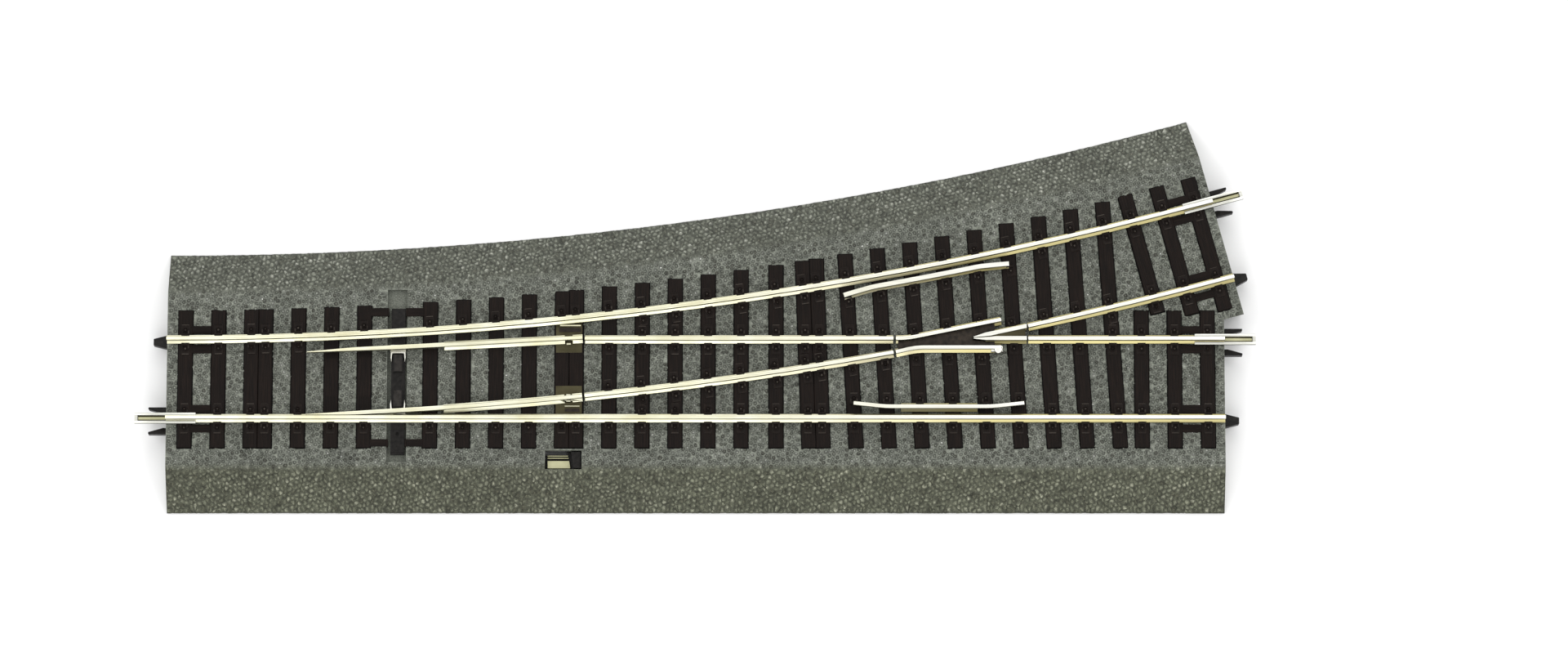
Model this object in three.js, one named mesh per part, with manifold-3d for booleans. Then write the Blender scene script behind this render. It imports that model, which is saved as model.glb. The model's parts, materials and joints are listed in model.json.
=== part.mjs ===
// H0 left-hand turnout on a moulded ballast bed, 15 degree branch, millimetres, +Z up.
//
// Track frame: x = 0 at the toe end, the straight route's centreline is y = 0, the branch curves
// towards +y, and z = 0 is the surface that the bed stands on. Left is +y, seen from the toe.
// At rest the points lie for the branch: the right blade is closed and the left blade is open.

import * as THREE from 'three';
import { mergeVertices } from 'three/addons/utils/BufferGeometryUtils.js';
import Module from 'manifold-3d';

const wasm = await Module();
wasm.setup();

// ---- Driving dimensions -------------------------------------------------------------------

const GAUGE = 16.5;
const STRAIGHT_LENGTH = 230;
const BRANCH_RADIUS = 873.5;
const BRANCH_ANGLE = THREE.MathUtils.degToRad(15);
const BRANCH_TAIL = 4;              // straight piece after the arc

const BED_HALF_WIDTH = 28.5;
const BED_CREST = 19.2;             // half width of the flat top
const BED_HEIGHT = 6.3;
const BED_LIP = 0.6;                // upright edge at the foot of the slope
const BED_WALL = 1.3;
const BED_PLATE = 1.5;              // thickness of the flat top
const BED_INNER_CUT = 17;           // where each leg's bed ends beside the other leg

const SLEEPER_WIDTH = 3.1;
const SLEEPER_HALF_LENGTH = 15.05;
const SLEEPER_TOP = 6.8;
const SLEEPER_PITCH = 7.17;
const SLEEPER_PAIR = 3.07;          // spacing of two sleepers that lie side by side
const END_SLEEPER = 3.7;            // last sleeper's distance from the end of a leg
const STRIP = { half: 0.8, z0: 6.36, z1: 6.7 };  // joins the sleepers under the stock rails

const RAIL_HEIGHT = 2.1;
const HEAD_WIDTH = 0.86;
const FOOT_WIDTH = 1.9;
const FOOT_TOP = 0.5;               // height of the foot where it meets the web
const RAIL_TOP = SLEEPER_TOP + RAIL_HEIGHT;
const RAIL_OFFSET = GAUGE / 2 + HEAD_WIDTH / 2;

const TIE_BAR_X = 50.3;
const TIE_BAR_TRAVEL = 2;
const HEEL_X = 87.4;
const BLADE_END_X = 90.4;
const CLOSURE_START_X = 90.9;
const BLADE_TIP_X = 30.5;
const BLADE_FOOT_X = 60.3;          // the blade's foot is planed off between the tip and here
const BLADE_LIFT = 0.05;            // running clearance over the sleepers
const BLADE_GAP = 0.06;             // side clearance of a closed blade
const OPEN_ANGLE = Math.atan(TIE_BAR_TRAVEL / (HEEL_X - TIE_BAR_X));

const FROG_GAP_X = 158;             // first insulated gap
const NOSE_TIP_X = 175.4;
const EXIT_GAP_X = 187;             // second insulated gap
const GAP = 0.5;
const WING_BEND_X = 161;
const WING_END_X = 181.4;
const WING_SLOPE = 0.202;

const THUMB_TRAVEL = 4.4;

// ---- Shapes -------------------------------------------------------------------------------

// A closed mesh as a manifold solid.
function solid(geometry) {
  const bare = geometry.clone();
  bare.deleteAttribute('normal');
  bare.deleteAttribute('uv');
  const merged = mergeVertices(bare, 1e-4);
  return new wasm.Manifold(new wasm.Mesh({
    numProp: 3,
    vertProperties: new Float32Array(merged.attributes.position.array),
    triVerts: new Uint32Array(merged.index.array),
  }));
}

function toGeometry(manifold) {
  const mesh = manifold.getMesh();
  const geometry = new THREE.BufferGeometry();
  geometry.setAttribute('position', new THREE.BufferAttribute(mesh.vertProperties, 3));
  geometry.setIndex(new THREE.BufferAttribute(mesh.triVerts, 1));
  geometry.computeVertexNormals();
  return geometry;
}

function joined(parts) {
  return parts.reduce((sum, part) => sum.add(part));
}

function cut(body, tools) {
  return body.subtract(joined(tools));
}

function block(x0, x1, y0, y1, z0, z1) {
  const box = new THREE.BoxGeometry(x1 - x0, y1 - y0, z1 - z0);
  box.translate((x0 + x1) / 2, (y0 + y1) / 2, (z0 + z1) / 2);
  return solid(box);
}

function post(x, y, radius, z0, z1, sides = 16) {
  const cylinder = new THREE.CylinderGeometry(radius, radius, z1 - z0, sides);
  cylinder.rotateX(Math.PI / 2);
  cylinder.translate(x, y, (z0 + z1) / 2);
  return solid(cylinder);
}

// A plan outline, as [x, y] corners or a Shape, raised from z0 to z1.
function slab(outline, z0, z1) {
  const shape = Array.isArray(outline)
    ? new THREE.Shape(outline.map(([x, y]) => new THREE.Vector2(x, y)))
    : outline;
  const raised = new THREE.ExtrudeGeometry(shape, {
    depth: z1 - z0, bevelEnabled: false, curveSegments: 8,
  });
  raised.translate(0, 0, z0);
  return solid(raised);
}

// A section, as [left, up] corners, swept along a plan curve.
function sweep(section, curve, steps) {
  const shape = new THREE.Shape(section.map(([left, up]) => new THREE.Vector2(-up, left)));
  return solid(new THREE.ExtrudeGeometry(shape, { extrudePath: curve, steps }));
}

function mirrored(half) {
  const other = half.map(([left, up]) => [-left, up]).reverse();
  return [...half, ...other];
}

function turned(manifold, angle, x, y) {
  return manifold.translate([-x, -y, 0]).rotate([0, 0, THREE.MathUtils.radToDeg(angle)])
    .translate([x, y, 0]);
}

function range(count) {
  return Array.from({ length: count }, (_, index) => index);
}

// ---- Routes -------------------------------------------------------------------------------

// The branch, or a line parallel to it on its left: an arc, then the straight tail.
class BranchRoute extends THREE.Curve {
  constructor(offset, start = 0, end = BRANCH_RADIUS * BRANCH_ANGLE + BRANCH_TAIL) {
    super();
    this.offset = offset;
    this.start = start;
    this.end = end;
  }

  heading(t) {
    const along = this.start + (this.end - this.start) * t;
    return Math.min(along / BRANCH_RADIUS, BRANCH_ANGLE);
  }

  getPoint(t) {
    const along = this.start + (this.end - this.start) * t;
    const angle = this.heading(t);
    const tail = along - angle * BRANCH_RADIUS;
    const radius = BRANCH_RADIUS - this.offset;
    return new THREE.Vector3(
      radius * Math.sin(angle) + tail * Math.cos(angle),
      BRANCH_RADIUS - radius * Math.cos(angle) + tail * Math.sin(angle),
      0,
    );
  }

  getTangent(t) {
    const angle = this.heading(t);
    return new THREE.Vector3(Math.cos(angle), Math.sin(angle), 0);
  }

  getPointAt(u) {
    return this.getPoint(u);
  }

  getTangentAt(u) {
    return this.getTangent(u);
  }
}

const BRANCH_LENGTH = BRANCH_RADIUS * BRANCH_ANGLE + BRANCH_TAIL;
const BRANCH_END = new BranchRoute(0).getPoint(1);

// Distance along the branch at which the line at this offset reaches x.
function alongAt(x, offset) {
  return BRANCH_RADIUS * Math.asin(x / (BRANCH_RADIUS - offset));
}

// The y of the arc at this offset, at x.
function arcY(x, offset = 0) {
  const radius = BRANCH_RADIUS - offset;
  return BRANCH_RADIUS - Math.sqrt(radius * radius - x * x);
}

function straightLine(x0, x1, y) {
  return new THREE.LineCurve3(new THREE.Vector3(x0, y, 0), new THREE.Vector3(x1, y, 0));
}

// A plan path through a few corners, with a short rounded bend at each inner corner.
function bentPath(corners, reach) {
  const path = new THREE.CurvePath();
  const points = corners.map(([x, y]) => new THREE.Vector3(x, y, 0));
  let from = points[0];
  for (let i = 1; i < points.length - 1; i += 1) {
    const before = points[i].clone().lerp(points[i - 1], reach / points[i].distanceTo(points[i - 1]));
    const after = points[i].clone().lerp(points[i + 1], reach / points[i].distanceTo(points[i + 1]));
    path.add(new THREE.LineCurve3(from, before));
    path.add(new THREE.QuadraticBezierCurve3(before, points[i], after));
    from = after;
  }
  path.add(new THREE.LineCurve3(from, points.at(-1)));
  return path;
}

// ---- Rail section -------------------------------------------------------------------------

const FOOT_EDGE = 0.28;
const WEB_HALF = 0.28;
const HEAD_UNDER = 1.4;
const HEAD_CHAMFER = 0.13;

const railHalf = [
  [FOOT_WIDTH / 2, 0],
  [FOOT_WIDTH / 2, FOOT_EDGE],
  [WEB_HALF, FOOT_TOP],
  [WEB_HALF, HEAD_UNDER],
  [HEAD_WIDTH / 2, HEAD_UNDER + 0.15],
  [HEAD_WIDTH / 2, RAIL_HEIGHT - HEAD_CHAMFER],
  [HEAD_WIDTH / 2 - HEAD_CHAMFER, RAIL_HEIGHT],
];
const footlessHalf = [[WEB_HALF, FOOT_TOP], ...railHalf.slice(3)];

function lifted(half, base) {
  return mirrored(half.map(([left, up]) => [left, up + base]));
}

const railSection = lifted(railHalf, SLEEPER_TOP);
const bladeSection = lifted(railHalf.map(([left, up]) => [left, Math.max(up, BLADE_LIFT)]), SLEEPER_TOP);

// ---- Ballast bed --------------------------------------------------------------------------

const TIE_SLOT = { x0: 47.9, x1: 52.2, y0: -18.2, y1: 19.8, floor: 5.15, under: 4.15 };
const WINDOW = { x0: 82.3, x1: 90.3, y0: -19.7, y1: -15.6 };
const PIN_Y = -12.1;
const PIN_RADIUS = 0.5;
const LEG_HOLE = 0.55;              // half width of a jumper leg's hole
const LEG_HALF = 0.35;
const FIRST_LEG_X = 99.8;
const LAST_LEG_X = 194.5;
const jumperLegs = {
  left: [[FIRST_LEG_X, RAIL_OFFSET], [LAST_LEG_X, RAIL_OFFSET]],
  right: [
    [FIRST_LEG_X, arcY(FIRST_LEG_X, -RAIL_OFFSET)],
    [LAST_LEG_X, arcY(LAST_LEG_X, -RAIL_OFFSET)],
  ],
};

const COUPLER = { z0: 1.6, z1: 3.9, back: -3.4, face: -1.6, tongueRoot: 1.5, tongueTip: 0.7 };
const COUPLER_TONGUE_LENGTH = 3.2;
const COUPLER_PRONG_LENGTH = 4.1;
const PRONG = { inner: 1.6, outer: 2.95, tip: 2.5 };
const COUPLER_PLAY = 0.2;

function bedSection(rightEdge, leftEdge) {
  const corner = (edge) => {
    const side = Math.sign(edge);
    return Math.abs(edge) < BED_CREST
      ? [[edge, 0], [edge, BED_HEIGHT]]
      : [[edge, 0], [edge, BED_LIP], [side * BED_CREST, BED_HEIGHT]];
  };
  return [...corner(leftEdge), ...corner(rightEdge).reverse()];
}

// The hollow under the bed keeps the wall's thickness below the slope.
function hollowSection(rightEdge, leftEdge) {
  const slope = Math.atan2(BED_HEIGHT - BED_LIP, BED_HALF_WIDTH - BED_CREST);
  const inset = BED_WALL / Math.sin(slope);
  const ceiling = BED_HEIGHT - BED_PLATE;
  const run = (ceiling - BED_LIP) / Math.tan(slope);
  const corner = (edge) => {
    const side = Math.sign(edge);
    const foot = side * (BED_HALF_WIDTH - inset);
    return Math.abs(edge) < BED_CREST
      ? [[edge, -1], [edge, ceiling]]
      : [[foot, -1], [foot, BED_LIP], [foot - side * run, ceiling]];
  };
  return [...corner(leftEdge), ...corner(rightEdge).reverse()];
}

// Openings in an end wall for the coupler, in the frame of the end of a leg.
function couplerSlots() {
  const z0 = COUPLER.z0 - COUPLER_PLAY;
  const z1 = COUPLER.z1 + COUPLER_PLAY;
  const slot = (y0, y1) => block(-BED_WALL - 1, 1, y0 - COUPLER_PLAY, y1 + COUPLER_PLAY, z0, z1);
  const half = COUPLER.tongueRoot;
  return [
    slot(-RAIL_OFFSET - half, -RAIL_OFFSET + half),
    slot(RAIL_OFFSET - PRONG.outer, RAIL_OFFSET - PRONG.inner),
    slot(RAIL_OFFSET + PRONG.inner, RAIL_OFFSET + PRONG.outer),
  ];
}

const legEnds = [
  { name: 'toe', x: 0, y: 0, angle: Math.PI },
  { name: 'straight_end', x: STRAIGHT_LENGTH, y: 0, angle: 0 },
  { name: 'branch_end', x: BRANCH_END.x, y: BRANCH_END.y, angle: BRANCH_ANGLE },
];

function atEnd(manifold, end) {
  return manifold.rotate([0, 0, THREE.MathUtils.radToDeg(end.angle)]).translate([end.x, end.y, 0]);
}

const SLIDER = { z0: 2.6, z1: 3.9, y0: -15.2, y1: -12.6, headX0: 47.5, headX1: 57.5, headY: -8.2 };
const GUIDE = { x0: 60, x1: 80, rib: 0.6, play: 0.3, lip: 1.5, z0: 1.9, lipTop: 2.4 };

function sliderGuides() {
  const ceiling = BED_HEIGHT - BED_PLATE + 0.2;
  const low = SLIDER.y0 - GUIDE.play;
  const high = SLIDER.y1 + GUIDE.play;
  return [
    block(GUIDE.x0, GUIDE.x1, low - GUIDE.rib, low, GUIDE.z0, ceiling),
    block(GUIDE.x0, GUIDE.x1, low - GUIDE.rib, low - GUIDE.rib + GUIDE.lip, GUIDE.z0, GUIDE.lipTop),
    block(GUIDE.x0, GUIDE.x1, high, high + GUIDE.rib, GUIDE.z0, ceiling),
    block(GUIDE.x0, GUIDE.x1, high + GUIDE.rib - GUIDE.lip, high + GUIDE.rib, GUIDE.z0, GUIDE.lipTop),
  ];
}

function makeBed() {
  const steps = 24;
  const shell = joined([
    sweep(bedSection(-BED_HALF_WIDTH, BED_INNER_CUT), straightLine(0, STRAIGHT_LENGTH, 0), 1),
    sweep(bedSection(-BED_INNER_CUT, BED_HALF_WIDTH), new BranchRoute(0), steps),
  ]);
  const innerCut = BED_INNER_CUT - 1;
  const hollow = [
    sweep(hollowSection(-BED_HALF_WIDTH, innerCut),
      straightLine(BED_WALL, STRAIGHT_LENGTH - BED_WALL, 0), 1),
    sweep(hollowSection(-innerCut, BED_HALF_WIDTH),
      new BranchRoute(0, BED_WALL, BRANCH_LENGTH - BED_WALL), steps),
  ];
  const slot = TIE_SLOT;
  const wall = 1.2;
  const additions = [
    block(slot.x0 - wall, slot.x1 + wall, slot.y0 - wall, slot.y1 + wall,
      slot.under, BED_HEIGHT - 0.5),
    ...sliderGuides(),
  ];
  const pinRoom = PIN_RADIUS + 0.25;
  const openings = [
    block(slot.x0, slot.x1, slot.y0, slot.y1, slot.floor, BED_HEIGHT + 1),
    block(TIE_BAR_X - pinRoom, TIE_BAR_X + pinRoom, PIN_Y - pinRoom,
      PIN_Y + TIE_BAR_TRAVEL + pinRoom, 0, BED_HEIGHT),
    block(WINDOW.x0, WINDOW.x1, WINDOW.y0, WINDOW.y1, 0, BED_HEIGHT + 1),
    ...[...jumperLegs.left, ...jumperLegs.right].map(([x, y]) =>
      block(x - LEG_HOLE, x + LEG_HOLE, y - LEG_HOLE, y + LEG_HOLE, 0, BED_HEIGHT + 1)),
    ...legEnds.flatMap((end) => couplerSlots().map((tool) => atEnd(tool, end))),
  ];
  return cut(joined([cut(shell, hollow), ...additions]), openings);
}

// ---- Sleeper moulding ---------------------------------------------------------------------

const PLATE_RECESS = 0.2;
const HEEL_PLATE = { x0: 84.6, x1: 90.3, left: [5.8, 12.6], right: [-8.4, -1.5] };
const JOINER_LENGTH = 13.3;
const JOINER_OUT = 6.8;             // how far a joiner sticks out past the end of its rail
const LADDER_INNER = [5.7, 7.6];    // strips between the last two sleepers, beside each rail
const LADDER_OUTER = [10, 11.7];
const GROUP_SIZES = [3, 10, 8, 10]; // sleepers between one close pair and the next
const FIRST_SLEEPER_X = 4;
const LEAN = { first: 138, last: 207, pair: 2, from: 3.1, to: 3.7 };  // where, and how many degrees

function sleeper(x, lean) {
  const half = SLEEPER_HALF_LENGTH;
  const reach = 2 * half + arcY(x);
  const topY = arcY(x - reach * Math.tan(lean)) + half;
  const length = (topY + half) / Math.cos(lean);
  const bar = block(x - SLEEPER_WIDTH / 2, x + SLEEPER_WIDTH / 2, -half, length - half,
    BED_HEIGHT, SLEEPER_TOP);
  return turned(bar, lean, x, -half);
}

// Towards the frog the sleepers lean over, halfway to square with the branch.
function leanAt(x) {
  const { first, last, pair, from, to } = LEAN;
  if (x < first) return 0;
  const share = (x - first) / (last - first);
  return THREE.MathUtils.degToRad(x < first + SLEEPER_PITCH ? pair : from + (to - from) * share);
}

function sleeperPositions() {
  const positions = [];
  let x = FIRST_SLEEPER_X;
  GROUP_SIZES.forEach((size) => {
    range(size).forEach((index) => positions.push(x + index * SLEEPER_PITCH));
    x = positions.at(-1) + SLEEPER_PAIR;
  });
  const overTieBar = (at) => Math.abs(at - TIE_BAR_X) < SLEEPER_PITCH / 2;
  return positions.filter((at) => !overTieBar(at));
}

// The sleepers at the end of a leg, square to it, in the frame of that end.
function endSleepers(innerEnds) {
  return innerEnds.map((innerEnd, index) => {
    const x = -END_SLEEPER - index * SLEEPER_PITCH;
    return block(x - SLEEPER_WIDTH / 2, x + SLEEPER_WIDTH / 2, innerEnd, SLEEPER_HALF_LENGTH,
      BED_HEIGHT, SLEEPER_TOP);
  });
}

function ladder() {
  return [-1, 1].flatMap((side) => [LADDER_INNER, LADDER_OUTER].map((strip) => {
    const [y0, y1] = strip.map((value) => side * value).sort((a, b) => a - b);
    return block(-END_SLEEPER - SLEEPER_PITCH, -END_SLEEPER, y0, y1, STRIP.z0, STRIP.z1);
  }));
}

// Where the tie bar's slot interrupts the moulding, a cradle at each end carries it across.
function tieBarCradles() {
  const { x0, x1, floor } = TIE_SLOT;
  const bridge = 4.2;
  const wall = 0.32;
  const shell = (y0, y1) => {
    const top = block(x0 - bridge, x1 + bridge, y0, y1, STRIP.z0, STRIP.z1);
    const sides = block(x0, x1, y0, y1, floor, STRIP.z1);
    const room = block(x0 + wall, x1 - wall, y0 - 1, y1 + 1, floor + 0.3, SLEEPER_TOP + 1);
    return cut(top.add(sides), [room]);
  };
  return [shell(-14.8, -13.2), shell(13.9, 15.7)];
}

function makeSleeperBase() {
  const strip = mirrored([[STRIP.half, STRIP.z0], [STRIP.half, STRIP.z1]]);
  const half = SLEEPER_HALF_LENGTH;
  const [toe, straightEnd, branchEnd] = legEnds;
  const startX = FIRST_SLEEPER_X;
  const endX = STRAIGHT_LENGTH - END_SLEEPER;
  const branchStart = alongAt(startX, 0);
  const branchEndAlong = BRANCH_LENGTH - END_SLEEPER;
  const moulding = joined([
    ...sleeperPositions().map((x) => sleeper(x, leanAt(x))),
    ...endSleepers([-half, -half, -half]).map((bar) => atEnd(bar, straightEnd)),
    ...endSleepers([-half, -14.1, -11.9]).map((bar) => atEnd(bar, branchEnd)),
    ...legEnds.flatMap((end) => ladder().map((bar) => atEnd(bar, end))),
    sweep(strip, straightLine(startX, endX, -RAIL_OFFSET), 1),
    sweep(strip, new BranchRoute(RAIL_OFFSET, branchStart, branchEndAlong), 14),
    block(endX - 2 * SLEEPER_PITCH, endX, RAIL_OFFSET - STRIP.half, RAIL_OFFSET + STRIP.half,
      STRIP.z0, STRIP.z1),
  ]);
  const joinerRoom = block(-JOINER_LENGTH + JOINER_OUT - 0.3, 1, RAIL_OFFSET - 1.35,
    RAIL_OFFSET + 1.35, BED_HEIGHT + 0.15, SLEEPER_TOP + 1);
  const plateRoom = (y0, y1) => block(HEEL_PLATE.x0 - 0.15, HEEL_PLATE.x1 + 0.15, y0 - 0.15,
    y1 + 0.15, SLEEPER_TOP - PLATE_RECESS, SLEEPER_TOP + 1);
  const cutMoulding = cut(moulding, [
    block(TIE_SLOT.x0 - 3, TIE_SLOT.x1 + 3, -30, 40, 0, SLEEPER_TOP + 1),
    ...[toe, straightEnd, branchEnd].map((end) => atEnd(joinerRoom, end)),
    plateRoom(...HEEL_PLATE.left),
    plateRoom(...HEEL_PLATE.right),
  ]);
  return joined([cutMoulding, ...tieBarCradles()]);
}

// ---- Fixed rails --------------------------------------------------------------------------

const RAIL_STEPS = { stock: 20, closure: 6, exit: 4 };

function branchRail(offset, startX, steps, section = railSection) {
  return sweep(section, new BranchRoute(offset, startX === 0 ? 0 : alongAt(startX, offset)), steps);
}

function closureAlongBranch() {
  const start = alongAt(CLOSURE_START_X, -RAIL_OFFSET);
  const end = alongAt(FROG_GAP_X, -RAIL_OFFSET);
  return sweep(railSection, new BranchRoute(-RAIL_OFFSET, start, end), RAIL_STEPS.closure);
}

const RIGHT_WING_Y = 6.7;
const RIGHT_WING_BEND_X = 163;
const WING_STEPS = 16;

function makeLeftWing() {
  const endY = RAIL_OFFSET + (WING_END_X - WING_BEND_X) * WING_SLOPE;
  const path = bentPath([
    [FROG_GAP_X + GAP, RAIL_OFFSET], [WING_BEND_X, RAIL_OFFSET], [WING_END_X, endY],
  ], 1.6);
  return sweep(railSection, path, WING_STEPS);
}

function makeRightWing() {
  const startX = FROG_GAP_X + GAP;
  const path = bentPath([
    [startX, arcY(startX, -RAIL_OFFSET)], [RIGHT_WING_BEND_X, RIGHT_WING_Y],
    [WING_END_X, RIGHT_WING_Y],
  ], 1.8);
  const boss = block(WING_END_X - 2.2, WING_END_X + 0.3, RIGHT_WING_Y - 0.9, RIGHT_WING_Y + 0.3,
    SLEEPER_TOP, SLEEPER_TOP + 1.5);
  return sweep(railSection, path, WING_STEPS).add(boss);
}

// The V between the two gauge faces, grown by a margin on every side.
function noseOutline(margin) {
  const gauge = GAUGE / 2;
  const wide = NOSE_TIP_X + 2.6;
  const back = NOSE_TIP_X + 5;
  return [
    [NOSE_TIP_X - margin, 8.55 - margin], [wide, gauge - margin], [back, gauge - margin],
    [back, arcY(back, -gauge) + margin], [wide, arcY(wide, -gauge) + margin],
    [NOSE_TIP_X - margin, 9.0 + margin],
  ];
}

function makeNose() {
  const legStart = NOSE_TIP_X + 2.2;
  const legEnd = EXIT_GAP_X - GAP / 2;
  const straightLeg = sweep(railSection, straightLine(legStart, legEnd, RAIL_OFFSET), 1);
  const branchLeg = sweep(railSection, new BranchRoute(-RAIL_OFFSET,
    alongAt(legStart, -RAIL_OFFSET), alongAt(legEnd, -RAIL_OFFSET)), 3);
  return joined([straightLeg, branchLeg, slab(noseOutline(0), SLEEPER_TOP, RAIL_TOP)]);
}

// Plastic floor between the wings, above the rails' feet, for the wheel flanges.
function makeFrogFloor() {
  const clear = 0.42;
  const lowY = RIGHT_WING_Y + clear;
  const startX = FROG_GAP_X + 1;
  const endX = NOSE_TIP_X + 4.6;
  const outline = [
    [startX, arcY(startX, -RAIL_OFFSET) + clear + 0.1], [RIGHT_WING_BEND_X, lowY], [endX, lowY],
    [endX, RAIL_OFFSET + (endX - WING_BEND_X) * WING_SLOPE - clear],
    [WING_BEND_X, RAIL_OFFSET - clear], [startX, RAIL_OFFSET - clear],
  ];
  const floor = slab(outline, SLEEPER_TOP + FOOT_TOP + 0.05, SLEEPER_TOP + 0.95);
  return cut(floor, [slab(noseOutline(0.12), SLEEPER_TOP, RAIL_TOP)]);
}

const CHECK_GAP = 2.35;             // from a stock rail's centre to its check rail's centre
const CHECK_FLARE = 0.75;
const CHECK_FLARE_LENGTH = 7;
const CHECK_MIDDLE = [159.6, 176.2];
const CHECK_ENDS = { left: [147.2, 183.2], right: [149.3, 186.3] };

// A check rail beside a stock rail, given as a line that returns the point at x and an offset.
function makeCheckRail([startX, endX], pointAt) {
  const section = lifted(footlessHalf, SLEEPER_TOP);
  const inner = range(3).map((i) => {
    const from = startX + CHECK_FLARE_LENGTH;
    const to = endX - CHECK_FLARE_LENGTH;
    return pointAt(from + (to - from) * i / 2, 0);
  });
  const corners = [pointAt(startX, CHECK_FLARE), ...inner, pointAt(endX, CHECK_FLARE)];
  const foot = mirrored([[FOOT_WIDTH / 2, SLEEPER_TOP], [FOOT_WIDTH / 2, SLEEPER_TOP + FOOT_EDGE],
    [WEB_HALF, SLEEPER_TOP + FOOT_TOP + 0.1]]);
  const footPath = new THREE.LineCurve3(...CHECK_MIDDLE.map((x) => {
    const [px, py] = pointAt(x, 0);
    return new THREE.Vector3(px, py, 0);
  }));
  return sweep(section, bentPath(corners, 1.5), 26).add(sweep(foot, footPath, 1));
}

function makeLeftCheckRail() {
  return makeCheckRail(CHECK_ENDS.left, (x, flare) => {
    const offset = RAIL_OFFSET - CHECK_GAP - flare;
    return [x, arcY(x, offset)];
  });
}

function makeRightCheckRail() {
  return makeCheckRail(CHECK_ENDS.right, (x, flare) => [x, -RAIL_OFFSET + CHECK_GAP + flare]);
}

// ---- Points -------------------------------------------------------------------------------

const PLANED_BOTTOM = 0.6;          // the tip runs above the stock rail's foot
const PLANED_END_X = 52.2;
const TIP_THICKNESS = 0.12;
const NOTCH_HALF = 0.85;            // heel notch, half its length along the rail
const PLANE_STEPS = 8;

function line(x0, x1, steps, yAt) {
  return range(steps + 1).map((i) => {
    const x = x0 + (x1 - x0) * i / steps;
    return [x, yAt(x)];
  });
}

// The planed front of a blade, as a slab between its gauge face and its stock-rail face.
function planedFront(gaugeFace, stockFace) {
  const outline = (x0, x1) => [
    ...line(x0, x1, PLANE_STEPS, gaugeFace),
    ...line(x0, x1, PLANE_STEPS, stockFace).reverse(),
  ];
  const top = RAIL_TOP;
  const tip = slab(outline(BLADE_TIP_X, PLANED_END_X + 0.1), SLEEPER_TOP + PLANED_BOTTOM, top);
  const body = slab(outline(PLANED_END_X, BLADE_FOOT_X + 0.1), SLEEPER_TOP + BLADE_LIFT, top);
  return tip.add(body);
}

// Notches in the foot for the heel plate's lugs, on a rail that lies along x at the heel.
function heelNotches(y) {
  const side = (sign) => {
    const edges = [y + sign * (WEB_HALF + 0.02), y + sign * FOOT_WIDTH].sort((a, b) => a - b);
    return block(HEEL_X - NOTCH_HALF, HEEL_X + NOTCH_HALF, ...edges, SLEEPER_TOP - 1,
      SLEEPER_TOP + HEAD_UNDER - 0.1);
  };
  return [side(-1), side(1)];
}

const RIGHT_HEEL_Y = arcY(HEEL_X, -RAIL_OFFSET);
const RIGHT_HEEL_ANGLE = Math.asin(HEEL_X / (BRANCH_RADIUS + RAIL_OFFSET));

function makeRightBlade() {
  const gauge = GAUGE / 2;
  const straightTo = 62;
  const stockSide = -gauge + BLADE_GAP;
  const tipY = stockSide + TIP_THICKNESS;
  const joinY = arcY(straightTo, -gauge);
  const gaugeFace = (x) => (x < straightTo
    ? tipY + (joinY - tipY) * (x - BLADE_TIP_X) / (straightTo - BLADE_TIP_X)
    : arcY(x, -gauge));
  const stockFace = (x) => Math.max(arcY(x, -gauge - HEAD_WIDTH), stockSide);
  const start = alongAt(BLADE_FOOT_X, -RAIL_OFFSET);
  const end = alongAt(BLADE_END_X, -RAIL_OFFSET);
  const rear = sweep(bladeSection, new BranchRoute(-RAIL_OFFSET, start, end), 6);
  const notches = heelNotches(RIGHT_HEEL_Y).map((tool) =>
    turned(tool, RIGHT_HEEL_ANGLE, HEEL_X, RIGHT_HEEL_Y));
  return cut(rear.add(planedFront(gaugeFace, stockFace)), notches);
}

// Built closed, along the straight route; its group turns it to the open position.
function makeLeftBlade() {
  const gauge = GAUGE / 2;
  const kneeX = 50;
  const stockFace = (x) => Math.min(arcY(x, gauge) - BLADE_GAP, gauge + HEAD_WIDTH);
  const tipY = stockFace(BLADE_TIP_X) - TIP_THICKNESS;
  const gaugeFace = (x) => (x < kneeX
    ? tipY + (gauge - tipY) * (x - BLADE_TIP_X) / (kneeX - BLADE_TIP_X)
    : gauge);
  const rear = sweep(bladeSection, straightLine(BLADE_FOOT_X, BLADE_END_X, RAIL_OFFSET), 1);
  return cut(rear.add(planedFront(gaugeFace, stockFace)), heelNotches(RAIL_OFFSET));
}

// Contact plate under a blade's heel, with two lugs that hold the web and let the blade turn.
function makeHeelPlate([y0, y1], heelY, angle) {
  const plate = block(HEEL_PLATE.x0, HEEL_PLATE.x1, y0, y1, SLEEPER_TOP - PLATE_RECESS, SLEEPER_TOP);
  const lugInner = 0.46;
  const lugOuter = 0.85;
  const lugHalf = 0.5;
  const lug = (sign) => {
    const edges = [heelY + sign * lugInner, heelY + sign * lugOuter].sort((a, b) => a - b);
    return block(HEEL_X - lugHalf, HEEL_X + lugHalf, ...edges, SLEEPER_TOP - 0.1, SLEEPER_TOP + 0.95);
  };
  return joined([plate, ...[-1, 1].map((sign) => turned(lug(sign), angle, HEEL_X, heelY))]);
}

// ---- Throw mechanism ----------------------------------------------------------------------

const TIE_BAR = { half: 1.5, y0: -16.6, y1: 15.6, z0: 5.6, z1: 6.6 };
const TONGUE = { half: 1.05, left: [1.5, 5.4], right: [-6.3, -2.4], top: 7.3 };
const CLIP = { z0: 6.64, z1: 6.78, play: 0.2, rim: 0.42, prong: 1.9 };
const LEFT_BLADE_OPEN_Y = RAIL_OFFSET - TIE_BAR_TRAVEL;
const RIGHT_BLADE_CLOSED_Y = -7.35;

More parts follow.
